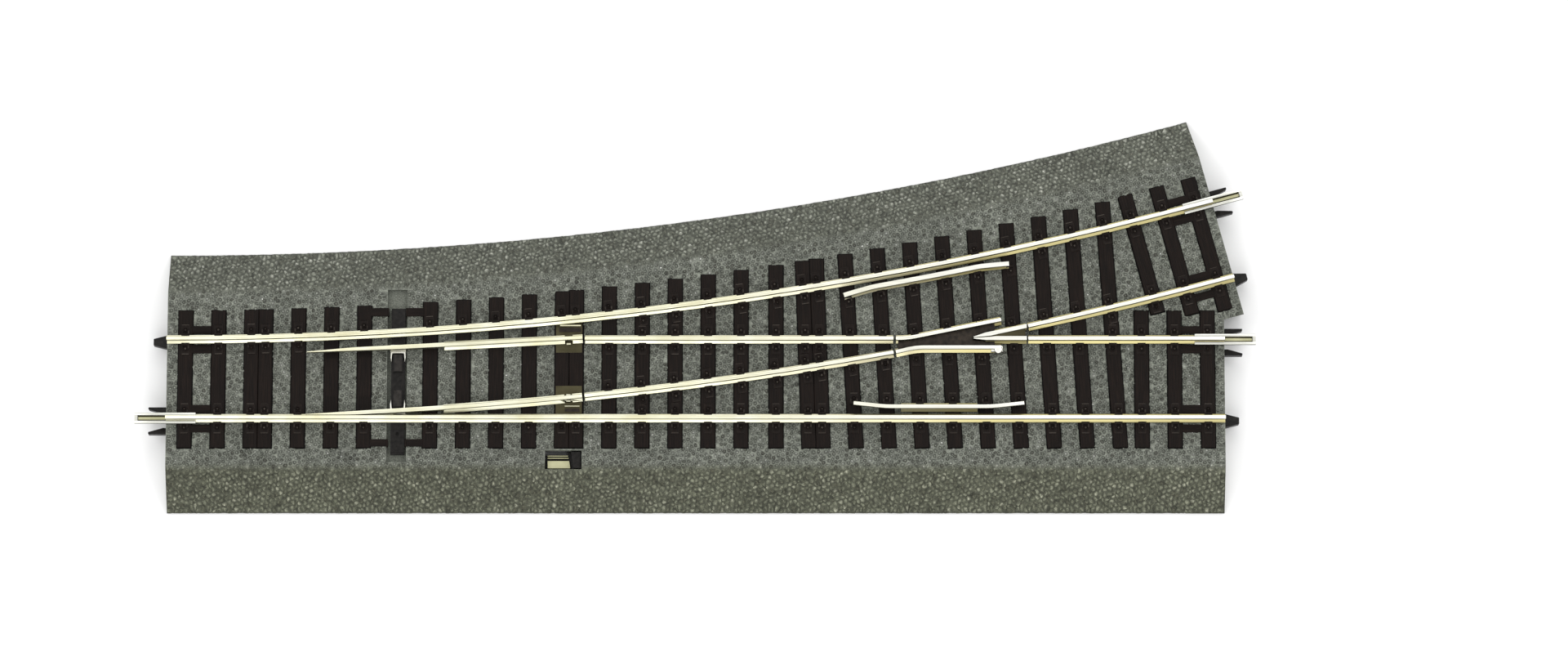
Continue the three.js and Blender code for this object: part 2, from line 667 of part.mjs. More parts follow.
function makeTieBar() {
  const bar = TIE_BAR;
  const x0 = TIE_BAR_X - bar.half;
  const x1 = TIE_BAR_X + bar.half;
  const step = 0.5;
  const tongue = ([y0, y1]) => block(TIE_BAR_X - TONGUE.half, TIE_BAR_X + TONGUE.half, y0, y1,
    bar.z1 - 0.1, TONGUE.top);
  const body = joined([
    block(x0, x1, bar.y0, bar.y1, bar.z0, bar.z1),
    tongue(TONGUE.left),
    tongue(TONGUE.right),
    post(TIE_BAR_X, PIN_Y, PIN_RADIUS, SLIDER.z0 - 0.2, bar.z0 + 0.1, 24),
  ]);
  return cut(body, [
    block(x0 - 1, x1 + 1, bar.y0 - 1, bar.y0 + step, bar.z1 - 0.3, bar.z1 + 1),
    block(x0 - 1, x1 + 1, bar.y1 - step, bar.y1 + 1, bar.z1 - 0.3, bar.z1 + 1),
    post(TIE_BAR_X, PIN_Y, 0.4, bar.z1 - 0.5, bar.z1 + 1),
  ]);
}

// A spring-metal fork under the blade that holds the tie bar's tongue.
function makeClip([tongueTip, side], bladeY) {
  const inner = TONGUE.half + CLIP.play;
  const outer = inner + CLIP.rim;
  const ledge = tongueTip + side * CLIP.play;
  const tips = ledge - side * CLIP.prong;
  const far = bladeY + side * 0.85;
  const outline = [
    [-outer, far], [outer, far], [outer, tips], [inner, tips],
    [inner, ledge], [-inner, ledge], [-inner, tips], [-outer, tips],
  ].map(([x, y]) => [TIE_BAR_X + x, y]);
  const stem = block(TIE_BAR_X - 1, TIE_BAR_X + 1, bladeY - 0.2, bladeY + 0.2,
    CLIP.z0, SLEEPER_TOP + PLANED_BOTTOM - 0.06);
  return slab(outline, CLIP.z0, CLIP.z1).add(stem);
}

// A thumb piece in the bed's window on an arm with a slanting slot: it slides along the bed
// and its slot moves the tie bar's pin across.
function makeHandSlider() {
  const { z0, z1, y0, y1, headX0, headX1, headY } = SLIDER;
  const thumbX1 = WINDOW.x1 - 0.25;
  const thumbX0 = thumbX1 - 3;
  const thumbY0 = WINDOW.y0 + 0.25;
  const thumbY1 = WINDOW.y1 - 0.25;
  const crown = [[thumbX0 + 0.9, thumbY1], [thumbX1, thumbY1], [thumbX1, thumbY0],
    [thumbX0 + 1.5, thumbY0]];
  const slotHalf = PIN_RADIUS + 0.12;
  const angle = Math.atan2(TIE_BAR_TRAVEL, THUMB_TRAVEL);
  const length = Math.hypot(TIE_BAR_TRAVEL, THUMB_TRAVEL);
  const slot = new THREE.Shape();
  slot.absarc(0, 0, slotHalf, Math.PI / 2, 3 * Math.PI / 2);
  slot.absarc(length, 0, slotHalf, -Math.PI / 2, Math.PI / 2);
  const slotTool = slab(slot, 0, 9).rotate([0, 0, THREE.MathUtils.radToDeg(angle)])
    .translate([TIE_BAR_X, PIN_Y, 0]);
  const body = joined([
    block(headX0, headX1, y0, headY, z0, z1),
    block(headX0, thumbX1, y0, y1, z0, z1),
    block(thumbX0, thumbX1, thumbY0, y1, z0, z1),
    slab(crown, z0, BED_HEIGHT - 0.3),
  ]);
  return cut(body, [slotTool]);
}

// ---- Electrical strips --------------------------------------------------------------------

function makeJumper(legs, z0) {
  const [[ax, ay], [bx, by]] = legs;
  const thickness = 0.2;
  const stripHalf = 0.6;
  const angle = Math.atan2(by - ay, bx - ax);
  const length = Math.hypot(bx - ax, by - ay);
  const strip = turned(block(ax - stripHalf, ax + length + stripHalf, ay - stripHalf,
    ay + stripHalf, z0, z0 + thickness), angle, ax, ay);
  const posts = legs.map(([x, y]) =>
    block(x - LEG_HALF, x + LEG_HALF, y - LEG_HALF, y + LEG_HALF, z0, SLEEPER_TOP - 0.05));
  return joined([strip, ...posts]);
}

// ---- Joiners and couplers, in the frame of the end of a leg -------------------------------

function makeJoiner() {
  const inner = FOOT_WIDTH / 2 + 0.05;
  const outer = inner + 0.17;
  const bottom = SLEEPER_TOP - 0.26;
  const floor = SLEEPER_TOP - 0.1;
  const lipUnder = SLEEPER_TOP + 0.45;
  const lipTop = lipUnder + 0.17;
  const lipInner = 0.6;
  const half = [
    [outer, bottom], [outer, lipTop], [lipInner, lipTop + 0.05], [lipInner, lipUnder + 0.05],
    [inner, lipUnder], [inner, floor],
  ];
  const path = straightLine(JOINER_OUT - JOINER_LENGTH, JOINER_OUT, RAIL_OFFSET);
  return sweep(mirrored(half), path, 1);
}

function makeCoupler() {
  const { z0, z1, back, face, tongueRoot, tongueTip } = COUPLER;
  const tongue = [
    [back, -RAIL_OFFSET - tongueRoot], [0, -RAIL_OFFSET - tongueRoot],
    [COUPLER_TONGUE_LENGTH, -RAIL_OFFSET - tongueTip],
    [COUPLER_TONGUE_LENGTH, -RAIL_OFFSET + tongueTip],
    [0, -RAIL_OFFSET + tongueRoot], [back, -RAIL_OFFSET + tongueRoot],
  ];
  const prong = (side) => [
    [back, RAIL_OFFSET + side * PRONG.inner], [0.9, RAIL_OFFSET + side * PRONG.inner],
    [COUPLER_PRONG_LENGTH, RAIL_OFFSET + side * PRONG.tip],
    [COUPLER_PRONG_LENGTH, RAIL_OFFSET + side * PRONG.outer],
    [back, RAIL_OFFSET + side * PRONG.outer],
  ];
  return joined([
    block(back, face, -RAIL_OFFSET - 3, RAIL_OFFSET + PRONG.outer, z0, z1),
    slab(tongue, z0, z1), slab(prong(-1), z0, z1), slab(prong(1), z0, z1),
  ]);
}

// ---- Scene --------------------------------------------------------------------------------

const finishes = {
  ballast: { color: 0x6e7266, roughness: 0.9, metalness: 0 },
  sleeperPlastic: { color: 0x2a2321, roughness: 0.65, metalness: 0 },
  blackPlastic: { color: 0x171a1e, roughness: 0.5, metalness: 0 },
  nickelSilver: { color: 0xd9d3ae, roughness: 0.3, metalness: 1 },
  springMetal: { color: 0xe6e2cf, roughness: 0.25, metalness: 1 },
  contactPlate: { color: 0x5d5842, roughness: 0.45, metalness: 0.8 },
  brass: { color: 0xc6a24c, roughness: 0.35, metalness: 1 },
};

function addPiece(parent, name, finish, manifold) {
  const mesh = new THREE.Mesh(toGeometry(manifold), new THREE.MeshStandardMaterial(finishes[finish]));
  mesh.name = name;
  parent.add(mesh);
  return mesh;
}

const track = new THREE.Group();

addPiece(track, 'ballast_bed', 'ballast', makeBed());
addPiece(track, 'sleeper_base', 'sleeperPlastic', makeSleeperBase());
addPiece(track, 'frog_floor', 'sleeperPlastic', makeFrogFloor());

const straightRail = (x0, x1, y) => sweep(railSection, straightLine(x0, x1, y), 1);
const fixedRails = {
  straight_stock_rail: straightRail(0, STRAIGHT_LENGTH, -RAIL_OFFSET),
  curved_stock_rail: branchRail(RAIL_OFFSET, 0, RAIL_STEPS.stock),
  straight_closure_rail: straightRail(CLOSURE_START_X, FROG_GAP_X, RAIL_OFFSET),
  curved_closure_rail: closureAlongBranch(),
  left_wing_rail: makeLeftWing(),
  right_wing_rail: makeRightWing(),
  frog_nose: makeNose(),
  straight_exit_rail: straightRail(EXIT_GAP_X + GAP / 2, STRAIGHT_LENGTH, RAIL_OFFSET),
  branch_exit_rail: branchRail(-RAIL_OFFSET, EXIT_GAP_X + GAP / 2, RAIL_STEPS.exit),
  left_check_rail: makeLeftCheckRail(),
  right_check_rail: makeRightCheckRail(),
};
Object.entries(fixedRails).forEach(([name, rail]) => addPiece(track, name, 'nickelSilver', rail));

addPiece(track, 'left_heel_plate', 'contactPlate', makeHeelPlate(HEEL_PLATE.left, RAIL_OFFSET, 0));
addPiece(track, 'right_heel_plate', 'contactPlate',
  makeHeelPlate(HEEL_PLATE.right, RIGHT_HEEL_Y, RIGHT_HEEL_ANGLE));
addPiece(track, 'left_jumper_strip', 'brass', makeJumper(jumperLegs.left, 4.5));
addPiece(track, 'right_jumper_strip', 'brass', makeJumper(jumperLegs.right, 4.2));

legEnds.forEach((end) => {
  const frame = new THREE.Group();
  frame.position.set(end.x, end.y, 0);
  frame.rotation.z = end.angle;
  addPiece(frame, `${end.name}_joiner`, 'nickelSilver', makeJoiner());
  addPiece(frame, `${end.name}_coupler`, 'blackPlastic', makeCoupler());
  track.add(frame);
});

addPiece(track, 'tie_bar', 'blackPlastic', makeTieBar());
addPiece(track, 'hand_slider', 'blackPlastic', makeHandSlider());

addPiece(track, 'right_point_blade', 'nickelSilver', makeRightBlade());
addPiece(track, 'right_blade_clip', 'springMetal', makeClip([TONGUE.right[0], -1], RIGHT_BLADE_CLOSED_Y));
addPiece(track, 'left_blade_clip', 'springMetal', makeClip([TONGUE.left[1], 1], LEFT_BLADE_OPEN_Y));

const leftHeel = new THREE.Group();
leftHeel.position.set(HEEL_X, RAIL_OFFSET, 0);
leftHeel.rotation.z = OPEN_ANGLE;
const leftBlade = addPiece(leftHeel, 'left_point_blade', 'nickelSilver', makeLeftBlade());
leftBlade.position.set(-HEEL_X, -RAIL_OFFSET, 0);
track.add(leftHeel);

// The part's own frame: origin at the middle of the underside of its box.
track.updateMatrixWorld(true);
const box = new THREE.Box3().setFromObject(track, true);
const middle = box.getCenter(new THREE.Vector3());
track.position.set(-middle.x, -middle.y, -box.min.z);

const turnout = new THREE.Group();
turnout.add(track);

export default turnout;
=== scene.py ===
import json
import math

import bmesh
import bpy
import numpy as np
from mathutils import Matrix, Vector

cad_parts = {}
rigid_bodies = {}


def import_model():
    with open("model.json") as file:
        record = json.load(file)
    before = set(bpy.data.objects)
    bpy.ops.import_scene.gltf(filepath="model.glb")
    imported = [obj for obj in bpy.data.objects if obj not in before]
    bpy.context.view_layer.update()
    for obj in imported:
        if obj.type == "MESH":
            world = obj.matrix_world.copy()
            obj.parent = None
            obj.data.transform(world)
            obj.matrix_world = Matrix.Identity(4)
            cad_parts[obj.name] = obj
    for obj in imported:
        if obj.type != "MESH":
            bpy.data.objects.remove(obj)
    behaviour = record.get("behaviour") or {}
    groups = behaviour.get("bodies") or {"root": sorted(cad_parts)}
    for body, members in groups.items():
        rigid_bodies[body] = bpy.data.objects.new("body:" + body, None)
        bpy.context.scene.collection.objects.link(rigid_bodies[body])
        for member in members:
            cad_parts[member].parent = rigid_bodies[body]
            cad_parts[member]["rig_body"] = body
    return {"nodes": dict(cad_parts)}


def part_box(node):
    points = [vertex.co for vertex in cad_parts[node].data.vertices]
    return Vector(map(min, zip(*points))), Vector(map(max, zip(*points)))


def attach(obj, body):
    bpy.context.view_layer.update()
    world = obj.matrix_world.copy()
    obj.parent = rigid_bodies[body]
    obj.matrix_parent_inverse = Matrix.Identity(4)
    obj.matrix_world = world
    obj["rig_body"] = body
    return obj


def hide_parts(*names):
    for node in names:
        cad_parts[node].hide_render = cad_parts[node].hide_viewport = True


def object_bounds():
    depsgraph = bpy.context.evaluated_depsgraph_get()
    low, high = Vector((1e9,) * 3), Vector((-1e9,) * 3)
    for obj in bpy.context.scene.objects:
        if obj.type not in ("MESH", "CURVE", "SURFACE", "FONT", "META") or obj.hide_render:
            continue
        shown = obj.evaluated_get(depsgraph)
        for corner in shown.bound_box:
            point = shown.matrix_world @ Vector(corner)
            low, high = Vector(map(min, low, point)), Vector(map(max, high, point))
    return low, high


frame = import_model()
cad_low, cad_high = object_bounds()

# Sizes below are in millimetres in the track frame: x = 0 at the toe end, y = 0 on the straight
# route's centreline, +y towards the branch, z = 0 on the surface that the bed stands on.
MM = 0.001
TRACK_LENGTH = 230.0
BRANCH_RADIUS = 873.5
BRANCH_ANGLE = math.radians(15)
BRANCH_TAIL = 4.0

BED_CREST = 19.2
BED_TOP = 6.3
BED_LIP = 0.6
BED_INNER_CUT = 17.0
SLOT = (47.9, 52.2, -18.2, 19.8)
WINDOW = (82.3, 90.3, -19.7, -15.6)

SLEEPER_WIDTH = 3.1
SLEEPER_HALF = 15.05
SLEEPER_TOP = 6.8
SLEEPER_PITCH = 7.17
SLEEPER_PAIR = 3.07
SLEEPER_SHADOW_RIM = 0.2  # the pocket around a sleeper in the bed, drawn as a flat sheet painted black as its shadow
END_SLEEPER = 3.7
TIE_BAR_X = 50.3

RAIL_OFFSET = 8.68  # from a route's centreline to the middle of its rails
RAIL_FOOT_HALF = 0.95
RAIL_HEAD_HALF = 0.43
RAIL_TOP = SLEEPER_TOP + 2.1
BLADES = (32.0, 91.3)  # from where the blades' tips lie to past their heels
CLOSURE_END = 156
FROG_BACK = 182
PAST_END = 240  # farther along than any rail
LEFT_WING = (162.1, 8.85, 177.5, 11.3)
RIGHT_WING = (162.1, 6.2, 181.0, 6.4)
CHECK_GAP = 2.35

SEED = 20
rng = np.random.default_rng(SEED)

rail_low, rail_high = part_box("straight_stock_rail")
ORIGIN = np.array([rail_low.x, (rail_low.y + rail_high.y) / 2 + RAIL_OFFSET * MM, 0.0])
BED_HALF = (ORIGIN[1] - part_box("ballast_bed")[0].y) / MM


def to_row(points):
    """Track-frame millimetres to row-frame metres."""
    return np.asarray(points, float) * MM + ORIGIN


def to_track(points):
    """Row-frame metres to track-frame millimetres."""
    return (np.array(points) - ORIGIN) / MM


# ---- Routes ----

def axes(heading):
    """The plan directions ahead and to the left."""
    ahead = np.array([math.cos(heading), math.sin(heading)])
    return ahead, np.array([-ahead[1], ahead[0]])


ARC_END = np.array([BRANCH_RADIUS * math.sin(BRANCH_ANGLE),
                    BRANCH_RADIUS * (1 - math.cos(BRANCH_ANGLE))])
ALONG, ACROSS = axes(BRANCH_ANGLE)
BRANCH_END = ARC_END + ALONG * BRANCH_TAIL
ENDS = (("toe_joiner", np.zeros(2), math.pi),
        ("straight_end_joiner", np.array([TRACK_LENGTH, 0.0]), 0.0),
        ("branch_end_joiner", BRANCH_END, BRANCH_ANGLE))


def arc_y(x, offset=0.0):
    """The y of the branch's arc at this offset to its left."""
    return BRANCH_RADIUS - np.sqrt((BRANCH_RADIUS - offset) ** 2 - np.square(x))


def branch_offset(x, y):
    """How far a point lies to the left of the branch's centreline."""
    on_arc = BRANCH_RADIUS - np.hypot(x, y - BRANCH_RADIUS)
    rel_x, rel_y = x - ARC_END[0], y - ARC_END[1]
    past = rel_x * ALONG[0] + rel_y * ALONG[1] > 0
    return np.where(past, rel_x * ACROSS[0] + rel_y * ACROSS[1], on_arc)


def branch_line(offset, steps):
    """Points along the branch at one offset, from the toe to the end of the tail."""
    angles = np.linspace(0, BRANCH_ANGLE, steps)
    radius = BRANCH_RADIUS - offset
    arc = np.stack([radius * np.sin(angles), BRANCH_RADIUS - radius * np.cos(angles)], 1)
    return np.vstack([arc, BRANCH_END + ACROSS * offset])


# ---- Meshes and pieces ----

FLAT = math.radians(0.2)  # edges below this angle only divide the CAD's flat faces
SHARP = math.radians(25)  # edges above this angle are rounded
SAME_POINT = 1e-7  # metres


def add_object(name, data):
    made = bpy.data.objects.new(name, data)
    bpy.context.scene.collection.objects.link(made)
    return made


def make_piece(name, points, faces, material, replaces, body="bed"):
    """A new piece from track-frame points, riding on a body."""
    mesh = bpy.data.meshes.new(name)
    mesh.from_pydata(to_row(points).tolist(), [], faces)
    mesh.validate()
    mesh.update()
    return finish_piece(name, mesh, material, replaces, body)


def finish_piece(name, mesh, material, replaces, body="bed", smooth_angle=40):
    mesh.shade_smooth()
    mesh.set_sharp_from_angle(angle=math.radians(smooth_angle))
    mesh.materials.append(MATERIALS[material])
    piece = add_object(name, mesh)
    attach(piece, body)
    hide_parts(*replaces)
    return piece


def welded(node):
    """A CAD node's mesh for editing, its triangles joined at their corners."""
    bm = bmesh.new()
    bm.from_mesh(frame["nodes"][node].data)
    bmesh.ops.remove_doubles(bm, verts=bm.verts, dist=SAME_POINT)
    return bm


def soften_node(node, name, material, width):
    """A piece in a CAD node's shape, with its sharp edges rounded."""
    bm = welded(node)
    bmesh.ops.dissolve_limit(bm, angle_limit=FLAT, verts=bm.verts, edges=bm.edges)
    sharp = [e for e in bm.edges if len(e.link_faces) == 2 and e.calc_face_angle(0) > SHARP]
    bmesh.ops.bevel(bm, geom=sharp, offset=width * MM, offset_type="OFFSET", segments=2,
                    profile=0.5, affect="EDGES", clamp_overlap=True)
    mesh = bpy.data.meshes.new(name)
    bm.to_mesh(mesh)
    bm.free()
    finish_piece(name, mesh, material, [node], frame["nodes"][node]["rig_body"], 30)


def store(mesh, name, values):
    """A point attribute for the materials to read, of numbers or of vectors."""
    values = np.array(values, np.float32)
    kind, field = ("FLOAT_VECTOR", "vector") if values.ndim == 2 else ("FLOAT", "value")
    mesh.attributes.new(name, kind, "POINT").data.foreach_set(field, values.ravel())


def ring_faces(sides, rings):
    """Faces between one ring of points and the next, with the last ring closed."""
    faces = [(k * sides + i, k * sides + (i + 1) % sides, (k + 1) * sides + (i + 1) % sides,
              (k + 1) * sides + i) for k in range(rings - 1) for i in range(sides)]
    return faces + [tuple((rings - 1) * sides + i for i in range(sides))]


# ---- Materials ----

NOISE_SPAN = (0.3, 0.7)  # most of a noise's values lie here
NO_PAINTED_LIGHT = 0.5  # below it is painted shadow, as in a dark gap; above it a painted highlight


def srgb(red, green, blue):
    """A colour written as the eye sees it, 0 to 255, as linear values."""
    def linear(value):
        value /= 255
        return value / 12.92 if value <= 0.04045 else ((value + 0.055) / 1.055) ** 2.4
    return (linear(red), linear(green), linear(blue), 1.0)


class Shader:
    """A node material on the Principled shader, with short names for the nodes used here.

    A value is a number, a colour or another node's output."""

    def __init__(self, name, metallic=0.0, specular=0.5):
        self.material = bpy.data.materials.new(name)
        self.material.use_nodes = True
        self.nodes = self.material.node_tree.nodes
        self.links = self.material.node_tree.links
        self.surface = self.nodes["Principled BSDF"]
        self.set("Metallic", metallic)
        self.set("Specular IOR Level", specular)

    def feed(self, socket, value):
        if isinstance(value, bpy.types.NodeSocket):
            self.links.new(value, socket)
        else:
            socket.default_value = value

    def set(self, socket, value):
        self.feed(self.surface.inputs[socket], value)

    def node(self, kind, **values):
        made = self.nodes.new("ShaderNode" + kind)
        for socket, value in values.items():
            self.feed(made.inputs[socket], value)
        return made

    def scaled(self, vector, scale):
        return self.node("Mapping", Vector=vector, Scale=scale).outputs["Vector"]

    def place(self, stretch=(1, 1, 1)):
        """Object coordinates in millimetres, stretched."""
        return self.scaled(self.node("TexCoord").outputs["Object"], [s / MM for s in stretch])

    def attribute(self, name, output="Fac"):
        node = self.node("Attribute")
        node.attribute_name = name
        return node.outputs[output]

    def noise(self, vector, scale, detail):
        return self.node("TexNoise", Vector=vector, Scale=scale, Detail=detail).outputs["Fac"]

    def parts(self, vector):
        return self.node("SeparateXYZ", Vector=vector).outputs

    def flatness(self):
        """1 on level faces, 0 on upright ones."""
        normal = self.node("TexCoord").outputs["Normal"]
        return self.math("ABSOLUTE", self.parts(normal)["Z"])

    def ramp(self, factor, stops):
        """A colour for each factor. A stop is a colour in srgb's numbers, or one linear grey."""
        node = self.node("ValToRGB", Fac=factor)
        elements = node.color_ramp.elements
        while len(elements) < len(stops):
            elements.new(1.0)
        for element, (position, colour) in zip(elements, stops):
            element.position = position
            element.color = srgb(*colour) if isinstance(colour, tuple) else (colour,) * 3 + (1,)
        return node.outputs["Color"]

    def spread(self, noise, low, high):
        """A ramp from low to high over a noise's usual range."""
        return self.ramp(noise, list(zip(NOISE_SPAN, (low, high))))

    def mix(self, factor, first, second, blend="MIX"):
        node = self.node("Mix")
        node.data_type = "RGBA"
        node.blend_type = blend
        for index, value in ((0, factor), (6, first), (7, second)):
            self.feed(node.inputs[index], value)
        return node.outputs[2]

    def times(self, first, second, factor=1.0):
        """The product of two colours, or partly so."""
        return self.mix(factor, first, second, "MULTIPLY")

    def math(self, operation, first, second=0.0):
        node = self.node("Math")
        node.operation = operation
        for socket, value in zip(node.inputs, (first, second)):
            self.feed(socket, value)
        return node.outputs["Value"]

    def bump(self, height, depth, strength, below=(0, 0, 0)):
        return self.node("Bump", Strength=strength, Distance=depth * MM, Height=height,
                         Normal=below).outputs["Normal"]


def ballast_material():
    s = Shader("ballast", specular=0.3)
    place = s.place()
    # the last stop is the near-white of the painted glints
    tones_and_glints = [(0.0, (86, 87, 79)), (0.35, (105, 108, 99)), (0.7, (122, 125, 116)),
             (0.985, (148, 150, 142)), (1.0, (240, 241, 236))]
    stone = s.ramp(s.attribute("stone_tone_and_glint"), tones_and_glints)
    patchy = s.times(stone, s.spread(s.noise(place, 0.09, 4), 0.86, 1.08), 0.85)
    # painted shade on the slopes: darker and more olive
    slope_shaded = s.mix(s.attribute("stone_slope"), patchy, s.times(patchy, (0.84, 0.83, 0.7, 1)))
    # painted shade in the hollows at the stones' rims and feet, and painted highlights on their
    # tops
    painted_stone_light = s.ramp(s.attribute("stone_painted_light"), [(0.0, 0.2), (0.5, 0.86), (1.0, 1.55)])
    speckle = s.spread(s.noise(place, 4.6, 4), 0.55, 1.55)
    s.set("Base Color", s.times(s.times(slope_shaded, painted_stone_light), speckle, 0.9))
    s.set("Roughness", s.spread(s.noise(place, 3.0, 2), 0.7, 0.95))
    s.set("Normal", s.bump(s.noise(place, 3.6, 5), 0.12, 0.8))
    return s.material


def sleeper_material():
    s = Shader("sleeper_plastic", specular=0.1)
    place = s.place()
    grain = s.noise(s.scaled(s.attribute("grain", "Vector"), (5.5, 0.2, 1.0)), 1.0, 5)
    streaks = s.ramp(grain, [(0.3, (12, 8, 6)), (0.5, (20, 14, 11)),
                             (0.72, (31, 23, 19))])
    patches = s.times(streaks, s.spread(s.noise(place, 0.35, 3), 0.8, 1.15), 0.5)
    # painted light: below the middle value the colour is darkened as shadow, above it lightened as
    # a highlight
    shade_and_highlight = s.attribute("shade_and_highlight")
    painted_gap_shadow = s.times(patches, s.ramp(shade_and_highlight, [(0.0, 0.1), (NO_PAINTED_LIGHT, 1.0)]))
    painted_highlight = s.ramp(shade_and_highlight, [(NO_PAINTED_LIGHT, 0.0), (1.0, 1.0)])
    s.set("Base Color", s.mix(painted_highlight, painted_gap_shadow, srgb(120, 112, 104)))
    s.set("Roughness", s.spread(grain, 0.42, 0.66))
    fine = s.bump(s.noise(place, 9.0, 2), 0.02, 0.4)
    s.set("Normal", s.bump(grain, 0.12, 0.8, fine))
    return s.material


def plastic_material(name, dark, light, roughness):
    s = Shader(name, specular=0.15)
    place = s.place()
    s.set("Base Color", s.spread(s.noise(place, 1.2, 4), dark, light))
    s.set("Roughness", s.spread(s.noise(place, 2.5, 3), roughness - 0.08, roughness + 0.12))
    s.set("Normal", s.bump(s.noise(place, 8.0, 3), 0.02, 0.5))
    return s.material


LIGHT_SHIFT_RUN = 60.0  # from the middle of the part to where the painted light and shade along it are full
FOOT_HEIGHT = 7.0  # the painted shade tint on the feet ends a little above it


def metal_material(name, dull, bright, roughness, foot_shade_tint=None):
    """Drawn metal: fine lines along x, a little tarnish, and painted shade on upright faces.

    Foot_shade_tint is a colour painted on the rails' feet as shade, growing along the part, and
    the rest is painted paler along it, as light."""
    s = Shader(name, metallic=1.0)
    lines = s.noise(s.place((0.05, 6.0, 6.0)), 1.0, 3)
    drawn = s.spread(s.noise(s.place(), 0.16, 4), dull, bright)
    # painted shade: upright faces are drawn darker
    upright_shade = s.ramp(s.flatness(), [(0.1, 0.3), (0.85, 1.0)])
    if foot_shade_tint:
        spot = s.parts(s.place())
        along = s.ramp(s.math("DIVIDE", spot["X"], LIGHT_SHIFT_RUN), [(0.0, 0.0), (1.0, 1.0)])
        low = s.ramp(s.math("SUBTRACT", spot["Z"], FOOT_HEIGHT), [(0.32, 1.0), (0.48, 0.0)])
        # painted light: the metal turns paler along x, and the feet take a darker gold tint along
        # x as painted shade
        lit_along = s.mix(along, drawn, srgb(243, 242, 233))
        drawn = s.mix(s.math("MULTIPLY", along, low), lit_along, srgb(*foot_shade_tint))
    lined = s.times(drawn, s.spread(lines, 0.8, 1.1), 0.2)
    s.set("Base Color", s.times(lined, upright_shade))
    s.set("Roughness", s.ramp(lines, [(0.25, roughness - 0.07), (0.75, roughness + 0.1)]))
    s.set("Normal", s.bump(lines, 0.01, 0.35))
    return s.material


MATERIALS = {
    "ballast": ballast_material(),
    "sleeper": sleeper_material(),
    "black": plastic_material("black_plastic", (13, 12, 11), (31, 29, 27), 0.4),
    "pad": plastic_material("worn_plastic", (30, 28, 26), (50, 47, 44), 0.4),
    "frog": plastic_material("frog_plastic", (30, 26, 22), (54, 47, 40), 0.45),
    # the last colour is the feet's painted shade tint
    "rail": metal_material("nickel_silver", (226, 222, 186), (247, 246, 224), 0.4,
                           (196, 186, 134)),
    "joiner": metal_material("joiner_metal", (216, 216, 206), (240, 240, 231), 0.3),
    "spring": metal_material("spring_metal", (246, 243, 230), (255, 254, 246), 0.4),
    # dark metal of the heel plates; also painted shade on the frog nose and the joiners' floors
    "dark_metal_and_shade": metal_material("contact_plate", (62, 58, 42), (86, 82, 62), 0.34),
    "leaf": metal_material("pale_leaf", (172, 170, 134), (208, 206, 170), 0.5),
    "strip": metal_material("contact_strip", (178, 146, 78), (206, 176, 104), 0.36),
}


# ---- Sleepers ----

GROUPS = (3, 10, 8, 10)  # sleepers between one close pair and the next
FIRST_X = 4.0
LEAN_FROM, LEAN_TO = 138.0, 207.0
FIRST_LEAN, LEAN, MORE_LEAN = 2.0, 3.1, 0.6
FROG_SLEEPERS_X = 130.0
FROG_SHIFT = 0.42  # the sleepers from there on lie a little farther on
INNER_ENDS = ((-SLEEPER_HALF,) * 3, (-SLEEPER_HALF, -14.1, -11.9))  # of the last sleepers


def lean_at(x):
    if x < LEAN_FROM:
        return 0.0
    share = (x - LEAN_FROM) / (LEAN_TO - LEAN_FROM)
    first = x < LEAN_FROM + SLEEPER_PITCH
    return math.radians(FIRST_LEAN if first else LEAN + MORE_LEAN * share)


def sleeper_places():
    places = []
    x = FIRST_X
    for size in GROUPS:
        places += [x + i * SLEEPER_PITCH for i in range(size)]
        x = places[-1] + SLEEPER_PAIR
    places = [at for at in places if abs(at - TIE_BAR_X) > SLEEPER_PITCH / 2]
    return [at + (FROG_SHIFT if at > FROG_SLEEPERS_X else 0) for at in places]


def all_sleepers():
    """Every sleeper's foot point, angle and length: it runs from there along the angled +y."""
    bars = []
    for x in sleeper_places():
        lean = lean_at(x)
        reach = 2 * SLEEPER_HALF + arc_y(x)
        top = arc_y(x - reach * math.tan(lean)) + SLEEPER_HALF
        bars.append(((x, -SLEEPER_HALF), lean, (top + SLEEPER_HALF) / math.cos(lean)))
    for (_, end, angle), inner_ends in zip(ENDS[1:], INNER_ENDS):
        ahead, left = axes(angle)
        for i, inner in enumerate(inner_ends):
            foot = end - ahead * (END_SLEEPER + i * SLEEPER_PITCH) + left * inner
            bars.append((foot, angle, SLEEPER_HALF - inner))
    return bars


SLEEPERS = all_sleepers()
GRAIN_STEP = 0.32  # between a bar's columns of points
FAR_GRAIN = 500  # each bar takes its grain from somewhere in this range


